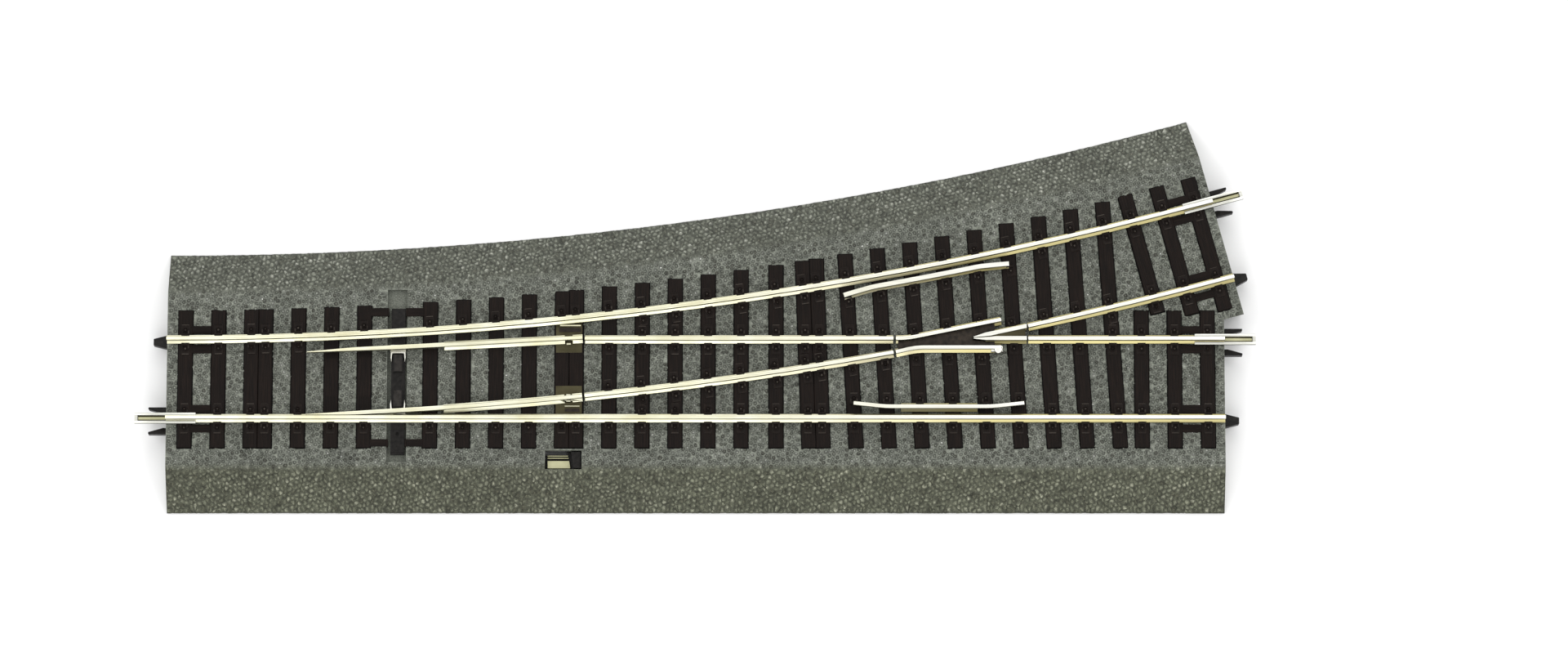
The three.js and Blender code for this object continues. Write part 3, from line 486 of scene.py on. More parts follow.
class Mould:
    """Collects points, faces, grain coordinates and the painted shade and highlights of one
    moulded piece.
    """

    def __init__(self):
        self.points, self.faces, self.grain, self.shade_and_highlight = [], [], [], []

    def add(self, points, faces, grain, shade_and_highlight):
        start = len(self.points)
        self.points += [tuple(p) for p in points]
        self.faces += [tuple(start + i for i in face) for face in faces]
        self.grain += [tuple(g) for g in grain]
        self.shade_and_highlight += shade_and_highlight

    def bar(self, foot, angle, length, width, top, bottom, bevel=0.12, groove=0.05, row_step=1.3):
        """A bevelled bar with a grained top, from its foot point along the angled +y."""
        ahead, left = axes(angle)
        half = width / 2
        columns = max(2, round(width / GRAIN_STEP))
        inner = np.linspace(-half + bevel, half - bevel, columns)
        across = np.hstack([-half, -half, inner, half, half])
        heights = np.hstack([bottom, top - bevel, np.full(columns, top), top - bevel, bottom])
        rows = max(2, round(length / row_step))
        ys = np.hstack([0, 0, np.linspace(bevel, length - bevel, rows), length, length])
        drop = np.hstack([top - bottom, bevel, np.zeros(rows), bevel, top - bottom])
        wander = rng.uniform(0, 1, (rows + 4, columns + 4))
        smooth = (wander + np.roll(wander, 1, 0) + np.roll(wander, -1, 0)) / 3
        strength = rng.uniform(0.2, 1.0, columns + 4)
        grid_u, grid_v = np.meshgrid(across, ys)
        z = np.maximum(np.minimum(heights, top - drop[:, None]), bottom)
        flat = (drop[:, None] == 0) & (heights == top)
        z = z - np.where(flat, groove * smooth * strength, 0)
        plan = foot + grid_u[..., None] * ahead + grid_v[..., None] * left
        points = np.concatenate([plan, z[..., None]], -1).reshape(-1, 3)
        wide = columns + 4
        faces = [(r * wide + c, r * wide + c + 1, (r + 1) * wide + c + 1, (r + 1) * wide + c)
                 for r in range(rows + 3) for c in range(wide - 1)]
        shift = rng.uniform(0, FAR_GRAIN, 2)
        grain = np.stack([grid_u + shift[0], grid_v + shift[1], z], -1).reshape(-1, 3)
        self.add(points, faces, grain, [NO_PAINTED_LIGHT] * len(points))

    def turned(self, centre, angle, profile, height, base, sides=10):
        """A small turned boss: profile is (radius, share of the height) from the foot up."""
        ring = np.linspace(0, 2 * math.pi, sides, endpoint=False) + angle
        points = [(centre[0] + radius * math.cos(a), centre[1] + radius * math.sin(a),
                   base + height * share) for radius, share in profile for a in ring]
        # a painted highlight on the top ring
        shade_and_highlight = NO_PAINTED_LIGHT + rng.uniform(0.0, 0.12)
        self.add(points, ring_faces(sides, len(profile)), points,
                 [NO_PAINTED_LIGHT] * (len(points) - sides) + [shade_and_highlight] * sides)

    def block(self, centre, angle, size, base, height, bevel, shade_and_highlight, foot_shade_and_highlight=NO_PAINTED_LIGHT):
        """A small bevelled block, centred in plan."""
        ahead, left = axes(angle)
        points = []
        for inset, z in ((0, base), (0, base + height - bevel), (bevel, base + height)):
            for side_x, side_y in ((-1, -1), (1, -1), (1, 1), (-1, 1)):
                out_x, out_y = side_x * (size[0] / 2 - inset), side_y * (size[1] / 2 - inset)
                points.append((*(centre + ahead * out_x + left * out_y), z))
        self.add(points, ring_faces(4, 3), points,
                 [foot_shade_and_highlight] * 4 + [shade_and_highlight] * 4 + [(shade_and_highlight + foot_shade_and_highlight) / 2] * 4)


BASE_PLATE = (2.0, 0.18)  # a chair's base plate: its width and height
CHAIR_REACH = 3.2  # from the rail's centre to the end of its base plate
LEAST_CHAIR_REACH = 2.55
CLIP_OUT, LUG_OUT, BOLT_OUT = 1.05, 1.55, 2.05
LUG_ASIDE = 0.66
BOLT_PROFILE = ((0.66, 0), (0.66, 0.5), (0.56, 0.7), (0.44, 0.7), (0.36, 0.3), (0.3, 0.3),
                (0.2, 1.0))
# the faintest painted highlight, on base plates and clips
FAINTEST_HIGHLIGHT = NO_PAINTED_LIGHT + 0.02
SLIDE_PLATE = (2.2, 3.6)  # under a blade
SLIDE_PLATE_OUT = 3.1


def add_chair(mould, point, heading, side, reach):
    """Base plate, clip, bolt and two lugs that hold one side of a rail's foot."""
    ahead, left = axes(heading)

    def at(out, along=0.0):
        return point + left * side * out + ahead * along

    width, height = BASE_PLATE
    mould.block(at((RAIL_FOOT_HALF + reach) / 2), heading, (width, reach - RAIL_FOOT_HALF + 0.3),
                SLEEPER_TOP - 0.1, height, 0.03, FAINTEST_HIGHLIGHT)
    # a painted highlight along the base plate's outer end
    mould.block(at(reach), heading, (1.5, 0.16), SLEEPER_TOP, 0.2, 0.04,
                NO_PAINTED_LIGHT + rng.uniform(0.0, 0.24))
    mould.block(at(CLIP_OUT), heading, (1.75, 0.56), SLEEPER_TOP, 0.46, 0.12, FAINTEST_HIGHLIGHT)
    mould.turned(at(BOLT_OUT), heading, BOLT_PROFILE, 0.36, SLEEPER_TOP + 0.06)
    # painted highlights on the lugs' tops
    for along in (-LUG_ASIDE, LUG_ASIDE):
        mould.block(at(LUG_OUT, along), heading, (0.3, 0.8), SLEEPER_TOP, 0.36, 0.1,
                    NO_PAINTED_LIGHT + rng.uniform(0.0, 0.16))


def crossing(foot, angle, length, line_y):
    """Where a sleeper's middle line meets a rail, given as y at x, or None."""
    left = axes(angle)[1]
    t = line_y(foot[0]) - foot[1]
    for _ in range(6):
        t = (line_y(foot[0] + left[0] * t) - foot[1]) / left[1]
    return foot + left * t if 1.0 < t < length - 1.0 else None


def rail_lines():
    """Each rail: y and slope at x, its range, its chairs' sides and the side under a blade."""
    def straight(y):
        return (lambda x: y + 0 * x), (lambda x: 0.0)

    def arc(offset):
        radius = BRANCH_RADIUS - offset
        limit = radius * math.sin(BRANCH_ANGLE)

        def y_at(x):
            if x <= limit:
                return arc_y(x, offset)
            start = ARC_END + ACROSS * offset
            return start[1] + (x - start[0]) * math.tan(BRANCH_ANGLE)

        return y_at, (lambda x: min(math.asin(min(x, limit) / radius), BRANCH_ANGLE))

    def chord(x0, y0, x1, y1):
        rise = (y1 - y0) / (x1 - x0)
        return (lambda x: y0 + rise * (x - x0)), (lambda x: math.atan(rise))

    both = (-1, 1)
    return ((straight(-RAIL_OFFSET), 0, PAST_END, both, 1),
            (arc(RAIL_OFFSET), 0, PAST_END, both, -1),
            (straight(RAIL_OFFSET), BLADES[1], CLOSURE_END, both, 0),
            (arc(-RAIL_OFFSET), BLADES[1], CLOSURE_END, both, 0),
            (straight(RAIL_OFFSET), FROG_BACK, PAST_END, both, 0),
            (arc(-RAIL_OFFSET), FROG_BACK, PAST_END, both, 0),
            (straight(-RAIL_OFFSET + CHECK_GAP), 149, 187, (1,), 0),
            (arc(RAIL_OFFSET - CHECK_GAP), 147, 184, (-1,), 0),
            (chord(*LEFT_WING), 160, 181, (1,), 0),
            (chord(*RIGHT_WING), 160, 181, (-1,), 0))


def add_chairs(mould):
    lines = rail_lines()
    for foot, angle, length in SLEEPERS:
        hits = []
        for (y_at, slope), first, last, sides, blade_side in lines:
            hit = crossing(foot, angle, length, y_at)
            if hit is not None and first < hit[0] < last:
                hits += [(hit, slope(hit[0]), side, side == blade_side) for side in sides]
        for (x, y), heading, side, blade_side in hits:
            rooms = [(other[1] - y) * side / 2 - 0.15 for other, *_ in hits
                     if (other[1] - y) * side > 0.1]
            reach = min([CHAIR_REACH] + rooms)
            under_blade = blade_side and BLADES[0] < x < BLADES[1]
            if under_blade and x < SLOT[0]:
                # the slide plate is drawn darker than the sleeper
                mould.block((x, y + side * SLIDE_PLATE_OUT), heading, SLIDE_PLATE,
                            SLEEPER_TOP - 0.1, 0.11, 0.04, 0.25)
            elif reach > LEAST_CHAIR_REACH and not under_blade:
                add_chair(mould, (x, y), heading, side, reach)


SLEEPER_FLOOR = BED_TOP - 0.35
STRIP_TOP = 6.7
END_STRIPS = ((5.7, 7.6), (10.0, 11.7), (-7.6, -5.7), (-11.7, -10.0))
RAIL_STRIP = (1.6, 4.0)  # under the outer rails: its width and its rows' step
RAIL_STRIP_STEPS = 24
CRADLES = ((-14.8, -13.2), (13.9, 15.7))
CRADLE_REACH = 4.3  # from the tie bar's slot
CRADLE_WALL = 0.32


def build_sleepers():
    mould = Mould()
    width = SLEEPER_WIDTH - 0.12
    for foot, angle, length in SLEEPERS:
        mould.bar(foot, angle, length, width, SLEEPER_TOP, SLEEPER_FLOOR)
        # painted shadow: a flat sheet around the sleeper, painted black as the shade in its pocket
        mould.block(foot + axes(angle)[1] * length / 2, angle,
                    (width + 2 * SLEEPER_SHADOW_RIM, length + 2 * SLEEPER_SHADOW_RIM), SLEEPER_FLOOR,
                    BED_TOP + 0.02 - SLEEPER_FLOOR, 0.02, 0.0, 0.0)
    for _, end, angle in ENDS:
        ahead, left = axes(angle)
        for low, high in END_STRIPS:
            foot = end - ahead * (END_SLEEPER + 1.2) + left * (low + high) / 2
            mould.bar(foot, angle + math.pi / 2, SLEEPER_PITCH - 2.4, high - low, STRIP_TOP,
                      BED_TOP - 0.3, 0.08)
    straight = np.array([[x, -RAIL_OFFSET] for x in np.linspace(2, 228, RAIL_STRIP_STEPS)])
    for curve in (straight, branch_line(RAIL_OFFSET, RAIL_STRIP_STEPS)[1:-1]):
        for a, b in zip(curve[:-1], curve[1:]):
            if min(a[0], b[0]) < SLOT[1] and max(a[0], b[0]) > SLOT[0]:
                continue
            heading = math.atan2(b[1] - a[1], b[0] - a[0])
            mould.bar(a, heading - math.pi / 2, np.hypot(*(b - a)), RAIL_STRIP[0],
                      STRIP_TOP, BED_TOP - 0.2, 0.05, 0.0, RAIL_STRIP[1])
    for y0, y1 in CRADLES:
        for x in (SLOT[0] - CRADLE_REACH, SLOT[1]):
            mould.bar((x, (y0 + y1) / 2), -math.pi / 2, CRADLE_REACH, y1 - y0, STRIP_TOP,
                      BED_TOP - 0.3, 0.08)
        for x in (SLOT[0] + CRADLE_WALL / 2, SLOT[1] - CRADLE_WALL / 2):
            mould.bar((x, y0), 0.0, y1 - y0, CRADLE_WALL, STRIP_TOP, 5.2, 0.06, 0.0)
    add_chairs(mould)
    piece = make_piece("sleeper_moulding", mould.points, mould.faces, "sleeper",
                       ["sleeper_base"])
    store(piece.data, "grain", mould.grain)
    store(piece.data, "shade_and_highlight", mould.shade_and_highlight)


# ---- Ballast bed ----

STONE_PITCH = 1.04
STONE_JITTER = 0.35
LATTICE_TURN = 0.33
LATTICE_SIZE = (280, 180)
STONE_RISE = (0.16, 0.32)
STONE_REACH = (0.3, 0.46)  # from a stone's middle to its foot, on the level
STONE_SHARE = (0.42, 0.66)  # its most, as a share of the way to the cell's corner
RIM_LIFT = (0.0, 0.2)
SUNK = 0.3  # under a sleeper
EDGE_CLEAR = 0.2  # the least way from a stone's middle to an edge, in pitches
SIDE_DENTS = 0.1
RIM_INSET = 0.3
BACK_END = BRANCH_END[0] - BED_HALF * 0.26  # about where the back edge ends
TONE_MEAN, TONE_SPREAD, MOST_TONE = 0.45, 0.26, 0.96
SPARKLE_SHARE = 0.005
PLAIN_TONE = 0.4
NOTCH_FEET = (226.0, 12.0, 17.5)  # the wall between the legs: from this x, between these y
NOTCH_LEAN = 1.2  # how far that wall leans in at its foot
BACK_SLOPE_SHADE = 0.3  # how much of the front slope's painted shade the back slope takes


def bed_outline():
    """The bed's plan outline, anticlockwise, with its sharp corners' indices."""
    notch = np.array([TRACK_LENGTH, arc_y(TRACK_LENGTH, -BED_INNER_CUT)])
    back = branch_line(BED_HALF, 80)[::-1]
    points = np.vstack([[[0, -BED_HALF], [TRACK_LENGTH, -BED_HALF], notch,
                         BRANCH_END - ACROSS * BED_INNER_CUT], back])
    return points, [0, 1, 2, 3, 4, len(points) - 1]


def rectangle(x0, x1, y0, y1):
    return np.array([[x0, y0], [x1, y0], [x1, y1], [x0, y1]])


def inside(points, polygon):
    x, y = points.T
    result = np.zeros(len(points), bool)
    for a, b in zip(polygon, np.roll(polygon, -1, 0)):
        crossing_x = (b[0] - a[0]) * (y - a[1]) / (b[1] - a[1] + 1e-12) + a[0]
        result ^= ((a[1] > y) != (b[1] > y)) & (x < crossing_x)
    return result


def nearest_edge(points, polygons):
    """The nearest points on the polygons' edges, and how far away they are."""
    best = np.full(len(points), 1e9)
    where = np.zeros_like(points)
    for a, b in [pair for polygon in polygons for pair in zip(polygon, np.roll(polygon, -1, 0))]:
        edge = b - a
        t = np.clip(((points - a) @ edge) / (edge @ edge), 0, 1)
        on = a + t[:, None] * edge
        far = np.hypot(*(points - on).T)
        nearer = far < best
        best[nearer] = far[nearer]
        where[nearer] = on[nearer]
    return where, best


def beyond_crest(x, y):
    """How far plan points lie outside the nearer crest of the bed."""
    return np.maximum(-y, branch_offset(x, y)) - BED_CREST


def bed_height(x, y):
    """The bed's height under the stones: flat on top, sloping down on both outer sides."""
    run = BED_HALF - BED_CREST
    return BED_TOP - (BED_TOP - BED_LIP) / run * np.clip(beyond_crest(x, y), 0, run)


def bed_normal(x, y):
    step = 0.4
    slope_x = (bed_height(x + step, y) - bed_height(x - step, y)) / (2 * step)
    slope_y = (bed_height(x, y + step) - bed_height(x, y - step)) / (2 * step)
    normal = np.stack([-slope_x, -slope_y, np.ones_like(slope_x)], -1)
    return normal / np.linalg.norm(normal, axis=-1, keepdims=True)


def stone_lattice():
    """Middles of the stones on a turned and shaken triangular lattice, and the corners between."""
    rise = STONE_PITCH * math.sqrt(3) / 2
    wide, high = LATTICE_SIZE
    columns = int(wide / STONE_PITCH)
    rows = int(high / rise)
    i, j = np.meshgrid(np.arange(columns), np.arange(rows), indexing="ij")
    odd = j % 2
    middles = np.stack([(i + 0.5 * odd) * STONE_PITCH - wide / 2, j * rise - high / 2], -1)
    middles = middles + rng.uniform(-1, 1, middles.shape) * STONE_JITTER * STONE_PITCH
    middles = middles @ np.array(axes(LATTICE_TURN)) + np.array([TRACK_LENGTH / 2, 15.0])

    def triangle(step):
        """Corners between stones (i, j), (i + 1, j) and the one above or below them."""
        other = middles[(i + odd) % columns, (j + step) % rows]
        return ((middles + middles[(i + 1) % columns, j] + other) / 3).reshape(-1, 2)

    def number(a, b, lower):
        """A corner's number in the list of all of them."""
        return (lower * columns + a % columns) * rows + b % rows

    before = i - 1 + odd
    around = np.stack([number(i, j, 0), number(before, j + 1, 1), number(i - 1, j, 0),
                       number(i - 1, j, 1), number(before, j - 1, 0), number(i, j, 1)], -1)
    real = (i > 1) & (i < columns - 2) & (j > 1) & (j < rows - 2)
    corners = np.vstack([triangle(1), triangle(-1)])
    return middles.reshape(-1, 2), corners, around.reshape(-1, 6), real.ravel()


def covered(points, margin):
    """Which plan points are under a sleeper, or nearer to one than the margin."""
    result = np.zeros(len(points), bool)
    for foot, angle, length in SLEEPERS:
        ahead, along = ((points - foot) @ axis for axis in axes(angle))
        result |= ((np.abs(ahead) < SLEEPER_WIDTH / 2 + margin)
                   & (along > -margin) & (along < length + margin))
    return result


def side_of(points):
    """Which plan points lie on the front or back edge, and the way into the bed from there."""
    x, y = points.T
    front = np.abs(y + BED_HALF) < 0.02
    back = np.abs(branch_offset(x, y) - BED_HALF) < 0.02
    outward = bed_normal(x, y - np.where(front, -0.5, 0.5))[:, :2]
    outward /= np.maximum(np.hypot(*outward.T), 1e-9)[:, None]
    return front | back, -outward


def steepness(points):
    """0 on the level, 1 down a slope, with a ragged change between them."""
    ragged = rng.uniform(-0.25, 0.25, len(points))
    return np.clip((beyond_crest(*points.T) + 0.5) / 1.6 + ragged, 0, 1)


def raised(points, height):
    """Plan points lifted off the bed's slope by a height along its normal."""
    x, y = points[..., 0], points[..., 1]
    ground = np.concatenate([points, bed_height(x, y)[..., None]], -1)
    return ground + bed_normal(x, y) * np.asarray(height)[..., None]


def shaken(level, slope, steep, shape):
    """Random numbers from one range on the level and from another down a slope."""
    return rng.uniform(*level, shape) * (1 - steep) + rng.uniform(*slope, shape) * steep


def stone_cells():
    """The stones' middles, the six rims around each, the rim points, and which are on an edge."""
    outline, sharp = bed_outline()
    holes = [rectangle(*SLOT), rectangle(*WINDOW)]
    middles, corners, around, real = stone_lattice()
    far = nearest_edge(middles, [outline] + holes)[1]
    keep = real & inside(middles, outline) & (far > EDGE_CLEAR * STONE_PITCH)
    for hole in holes:
        keep &= ~inside(middles, hole)
    uses = np.zeros(len(corners), int)
    np.add.at(uses, around[keep].ravel(), 1)
    edge = np.flatnonzero((uses > 0) & (uses < 3))
    snapped = nearest_edge(corners[edge], [outline] + holes)[0]
    for vertex in [*outline[sharp], *np.concatenate(holes)]:
        snapped[np.argmin(np.hypot(*(snapped - vertex).T))] = vertex
    corners[edge] = snapped
    used = np.flatnonzero(uses > 0)
    compact = np.full(len(corners), -1)
    compact[used] = np.arange(len(used))
    return middles[keep], compact[around[keep]], corners[used], np.isin(used, edge)


def outer_edges(cells):
    """The cells' edges that belong to one cell only."""
    pairs = np.vstack([cells[:, [k, (k + 1) % 6]] for k in range(6)])
    _, index, repeats = np.unique(np.sort(pairs, 1), axis=0, return_index=True,
                                  return_counts=True)
    return pairs[index[repeats == 1]]


def build_stones():
    """The bed's top and slopes as one skin of stones, with the skirt below its long sides."""
    stones, cells, rims, on_edge = stone_cells()
    count, rim_count = len(stones), len(rims)
    hidden = covered(stones, 0.3)
    sunk = np.where(hidden, -SUNK, 0.0)
    rise = np.where(hidden, 0.0, rng.uniform(*STONE_RISE, count))
    spokes = rims[cells] - stones[:, None]
    spans = np.hypot(spokes[..., 0], spokes[..., 1])
    rim_steep, steep = steepness(rims), steepness(stones)[:, None]
    reach = rng.uniform(*STONE_REACH, count)[:, None] * rng.uniform(0.85, 1.15, (count, 6))
    most = rng.uniform(*STONE_SHARE, (count, 6)) * spans * (1 - 0.15 * steep)
    reach = np.minimum(reach, most) * (1 - steep) + most * steep
    feet = stones[:, None] + spokes * (reach / np.maximum(spans, 1e-6))[..., None]
    rim_lift = np.where(on_edge, 0.0, rng.uniform(*RIM_LIFT, rim_count) * (1 - rim_steep))
    rim_points = raised(rims, rim_lift)
    rim_points[covered(rims, 0.2) & ~on_edge, 2] -= SUNK
    on_side, inward = side_of(rims)
    far_from_ends = (rims[:, 0] > 1) & (rims[:, 0] < BACK_END - 1)
    dents = np.where(on_side & far_from_ends, rng.uniform(0, SIDE_DENTS, rim_count), 0)
    rim_points[:, :2] += inward * dents[:, None]
    foot_lift = shaken((-0.07, 0.0), (0.03, 0.14), steep, (count, 6))
    foot_lift[on_edge[cells] | hidden[:, None]] = 0.0
    foot_points = raised(feet, foot_lift + sunk[:, None]).reshape(-1, 3)

    first_foot = rim_count + count
    top = rim_count + np.arange(count)
    faces = []
    for k in range(6):
        rim, next_rim = cells[:, k], cells[:, (k + 1) % 6]
        here = first_foot + np.arange(count) * 6 + k
        there = first_foot + np.arange(count) * 6 + (k + 1) % 6
        faces += np.stack([top, here, there], 1)[~hidden].tolist()
        faces += np.stack([here, rim, next_rim, there], 1)[~hidden].tolist()
        faces += np.stack([top, rim, next_rim], 1)[hidden].tolist()

    below = rim_points * (1, 1, 0)
    within = np.pad(rims + inward * RIM_INSET, ((0, 0), (0, 1)))
    first_below = first_foot + count * 6
    first_within = first_below + rim_count
    edges = outer_edges(cells)
    for a, b in edges[on_side[edges].all(1)].tolist():
        faces.append((b, a, first_below + a, first_below + b))
        faces.append((first_below + b, first_below + a, first_within + a, first_within + b))
    points = [rim_points, raised(stones, rise + sunk), foot_points, below, within]

    tones_and_glints = np.clip(rng.normal(TONE_MEAN, TONE_SPREAD, count), 0.0, MOST_TONE)
    # a few stones drawn near white, as painted glints
    tones_and_glints[rng.uniform(0, 1, count) < SPARKLE_SHARE] = 1.0
    foot_tones = np.repeat(np.minimum(tones_and_glints, MOST_TONE), 6)
    tone_and_glint = np.hstack([np.full(rim_count, TONE_MEAN), tones_and_glints, foot_tones,
                      np.full(2 * rim_count, PLAIN_TONE)])
    # painted light for each point: shade at the rims and the stones' feet, highlights on their
    # tops, shade on the skirt
    rim_shade = shaken((0.35, 0.85), (0.0, 0.3), rim_steep, rim_count)
    foot_shade = shaken((0.0, 0.25), (0.1, 0.7), steep, (count, 6)).ravel()
    shade = np.hstack([rim_shade, rng.uniform(0.7, 1.0, count), foot_shade,
                       np.full(2 * rim_count, 0.3)])
    return np.vstack(points), faces, tone_and_glint, shade


def cad_bed_rest():
    """The CAD bed's end walls, hollow, slot and window as points and faces, without its top."""
    cad = welded("ballast_bed")
    gone = []
    for face in cad.faces:
        middle = to_track(face.calc_center_median())
        on_top = face.normal.z > 0.9 and middle[2] > BED_TOP - 0.01
        on_lip = (middle[2] < BED_LIP and abs(face.normal.z) < 0.1
                  and side_of(middle[None, :2])[0][0])
        if on_top or on_lip or 0.1 < face.normal.z < 0.95:
            gone.append(face)
    bmesh.ops.delete(cad, geom=gone, context="FACES")
    points = to_track([v.co for v in cad.verts])
    at_foot = points[:, 2] < 0.01
    on_side, inward = side_of(points[:, :2])
    points[on_side & at_foot, :2] += inward[on_side & at_foot] * RIM_INSET
    x, y = points[:, 0], points[:, 1]
    notch = at_foot & (x > NOTCH_FEET[0]) & (y > NOTCH_FEET[1]) & (y < NOTCH_FEET[2])
    at_end = notch & (np.abs(x - TRACK_LENGTH) < 0.05)
    points[notch & ~at_end, :2] += ACROSS * NOTCH_LEAN
    points[at_end, 1] += NOTCH_LEAN
    cad.verts.index_update()
    faces = [tuple(v.index for v in face.verts) for face in cad.faces]
    cad.free()
    return points, faces


def build_bed():
    points, faces, tone_and_glint, shade = build_stones()
    rest_points, rest_faces = cad_bed_rest()
    faces += [tuple(len(points) + i for i in face) for face in rest_faces]
    points = np.vstack([points, rest_points])
    tone_and_glint = np.hstack([tone_and_glint, np.full(len(rest_points), PLAIN_TONE)])
    # painted shade: the CAD walls and floors below 4 mm are drawn darker
    shade = np.hstack([shade, np.where(rest_points[:, 2] > 4, 0.5, 0.4)])
    # how far down a slope a point lies, for the painted shade there
    slope = np.clip((beyond_crest(*points[:, :2].T) + 0.8) / 1.6, 0, 1)
    slope[points[:, 1] > 0] *= BACK_SLOPE_SHADE
    mesh = bpy.data.meshes.new("bed")
    mesh.from_pydata(to_row(points).tolist(), [], faces)
    for name, values in (("stone_tone_and_glint", tone_and_glint), ("stone_painted_light", shade), ("stone_slope", slope)):
        store(mesh, name, values)
    bm = bmesh.new()
    bm.from_mesh(mesh)
    bmesh.ops.delete(bm, geom=[v for v in bm.verts if not v.link_faces], context="VERTS")
    bm.to_mesh(mesh)
    bm.free()
    finish_piece("ballast_moulding", mesh, "ballast", ["ballast_bed"], smooth_angle=60)


# ---- Small metal parts ----

def extruded(outline, z0, z1, bevel):
    """Points and faces of an anticlockwise plan outline pulled up, its top edge bevelled."""
    outline = np.array(outline)
    along = np.roll(outline, -1, 0) - outline
    both = along + np.roll(along, 1, 0)
    inward = np.stack([-both[:, 1], both[:, 0]], 1)
    inward /= np.maximum(np.hypot(*inward.T), 1e-9)[:, None]
    rings = ((outline, z0), (outline, z1 - bevel), (outline + inward * bevel, z1))
    points = [(x, y, z) for ring, z in rings for x, y in ring]
    return points, ring_faces(len(outline), 3) + [tuple(reversed(range(len(outline))))]


def box_part(x0, x1, y0, y1, z0, z1, bevel=0.04):
    return extruded(rectangle(x0, x1, y0, y1), z0, z1, bevel)


def strip(line, left, right, z0, z1, bevel=0.05):
    """A bar along a plan line, between two distances to its left."""
    along = np.gradient(line, axis=0)
    normal = np.stack([-along[:, 1], along[:, 0]], 1) / np.hypot(*along.T)[:, None]
    outline = np.vstack([line + normal * right, (line + normal * left)[::-1]])
    return extruded(outline, z0, z1, bevel)


def join_parts(name, parts, material, replaces, body="bed"):
    points, faces = [], []
    for part_points, part_faces in parts:
        faces += [tuple(len(points) + i for i in face) for face in part_faces]
        points += part_points
    make_piece(name, points, faces, material, replaces, body)


CLIP_SHEET = 0.14
PRONG_HEIGHT = 0.4
PRONG_INNER = 1.25  # from the tie bar's middle to the prongs' inner faces
YOKE = 0.42
FILLET = 0.16  # in the fork's inner corners
STEM_BACK = 0.85  # from the clip's far edge to its stem


def build_clip(node, side, ledge):
    """The fork under a blade's tip: a flat root, a raised yoke and two curved, tapering prongs."""
    low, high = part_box(node)
    z0 = (low.z - ORIGIN[2]) / MM
    half = (high.x - low.x) / 2 / MM
    far, tip = [(y - ORIGIN[1]) / MM for y in ((high.y, low.y) if side > 0 else (low.y, high.y))]
    fillet = [(PRONG_INNER - FILLET * (1 - math.cos(t)), ledge - side * FILLET * (1 - math.sin(t)))
              for t in np.linspace(0, math.pi / 2, 5)]
    right = [(half - 0.12, ledge + side * YOKE), (half, ledge), (half, ledge - side * 0.9),
             (half - 0.1, tip + side * 0.3), (half - 0.28, tip),
             (PRONG_INNER + 0.1, tip + side * 0.7)] + fillet
    fork = right + [(-x, y) for x, y in reversed(right)]
    outline = [(TIE_BAR_X + x, y) for x, y in (fork if side < 0 else reversed(fork))]
    stem = far - side * STEM_BACK
    parts = [extruded(outline, z0, z0 + PRONG_HEIGHT, 0.08),
             box_part(TIE_BAR_X - half, TIE_BAR_X + half, *sorted((far, ledge)), z0,
                      z0 + CLIP_SHEET, 0.03),
             box_part(TIE_BAR_X - 1, TIE_BAR_X + 1, stem - 0.2, stem + 0.2, z0,
                      (high.z - ORIGIN[2]) / MM, 0.05)]
    body = frame["nodes"][node]["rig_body"]
    join_parts(node + "_bright", parts, "spring", [node], body)


HEEL_X = 87.4  # the blades turn here
LUG_APART = 0.66  # from a lug's middle to the blade's
LEFT_LUGS_IN = 0.45  # they lie this much nearer the centreline than the rail


def build_heel_details():
    """Folded bright edges, bright pivot lugs and dark openings on the two heel plates."""
    plates = ["left_heel_plate", "right_heel_plate"]
    low = SLEEPER_TOP - 0.02
    bright = [box_part(85.5, 90.0, 11.6, 11.95, low, SLEEPER_TOP + 0.22),
              box_part(86.6, 89.8, -6.1, -5.9, low, SLEEPER_TOP + 0.2)]
    for pivot in (RAIL_OFFSET - LEFT_LUGS_IN, arc_y(HEEL_X, -RAIL_OFFSET)):
        for y in (pivot - LUG_APART, pivot + LUG_APART):
            bright.append(box_part(HEEL_X - 0.45, HEEL_X + 0.45, y - 0.17, y + 0.17,
                                   SLEEPER_TOP + 0.9, SLEEPER_TOP + 0.97, 0.03))
    join_parts("heel_plate_edges", bright, "rail", plates)
    dark = [box_part(85.3, 90.1, 10.35, 11.35, low, SLEEPER_TOP + 0.05, 0.02),
            box_part(86.6, 89.8, -7.2, -6.45, low, SLEEPER_TOP + 0.05, 0.02)]
    join_parts("heel_plate_openings", dark, "frog", plates)


CHECK_ENDS = (147.2, 183.2)
CHECK_FLARE = (7.0, 0.75)  # how long it is at each end, and how far it leads away


def build_left_check_rail():
    """The check rail beside the curved stock rail: its foot shows along its whole length."""
    x = np.linspace(*CHECK_ENDS, 40)
    run, away = CHECK_FLARE
    into_flare = np.maximum(CHECK_ENDS[0] + run - x, x - CHECK_ENDS[1] + run)
    flare = away * np.clip(into_flare / run, 0, 1) ** 1.3
    line = np.stack([x, arc_y(x, RAIL_OFFSET - CHECK_GAP - flare)], 1)
    parts = [strip(line, 0.5, -0.5, RAIL_TOP - 0.8, RAIL_TOP),
             strip(line, 0.28, -0.28, SLEEPER_TOP + 0.3, RAIL_TOP - 0.7),
             strip(line, 0.75, -0.8, SLEEPER_TOP, SLEEPER_TOP + 0.42, 0.12)]
    join_parts("left_check_rail_drawn", parts, "rail", ["left_check_rail"])


WING_BOSS = ((0.9, 0.0), (0.9, 0.8), (0.8, 0.95), (0.65, 1.0))


def build_wing_end():
    """The rounded, thickened end of the right wing rail."""
    mould = Mould()
    mould.turned((180.75, 6.2), 0.0, WING_BOSS, 1.55, SLEEPER_TOP + 0.5, 16)
    make_piece("right_wing_rail_end", mould.points, mould.faces, "rail",
               ["right_wing_rail"])


TONGUES = ((1.5, 5.4), (-6.3, -2.4))


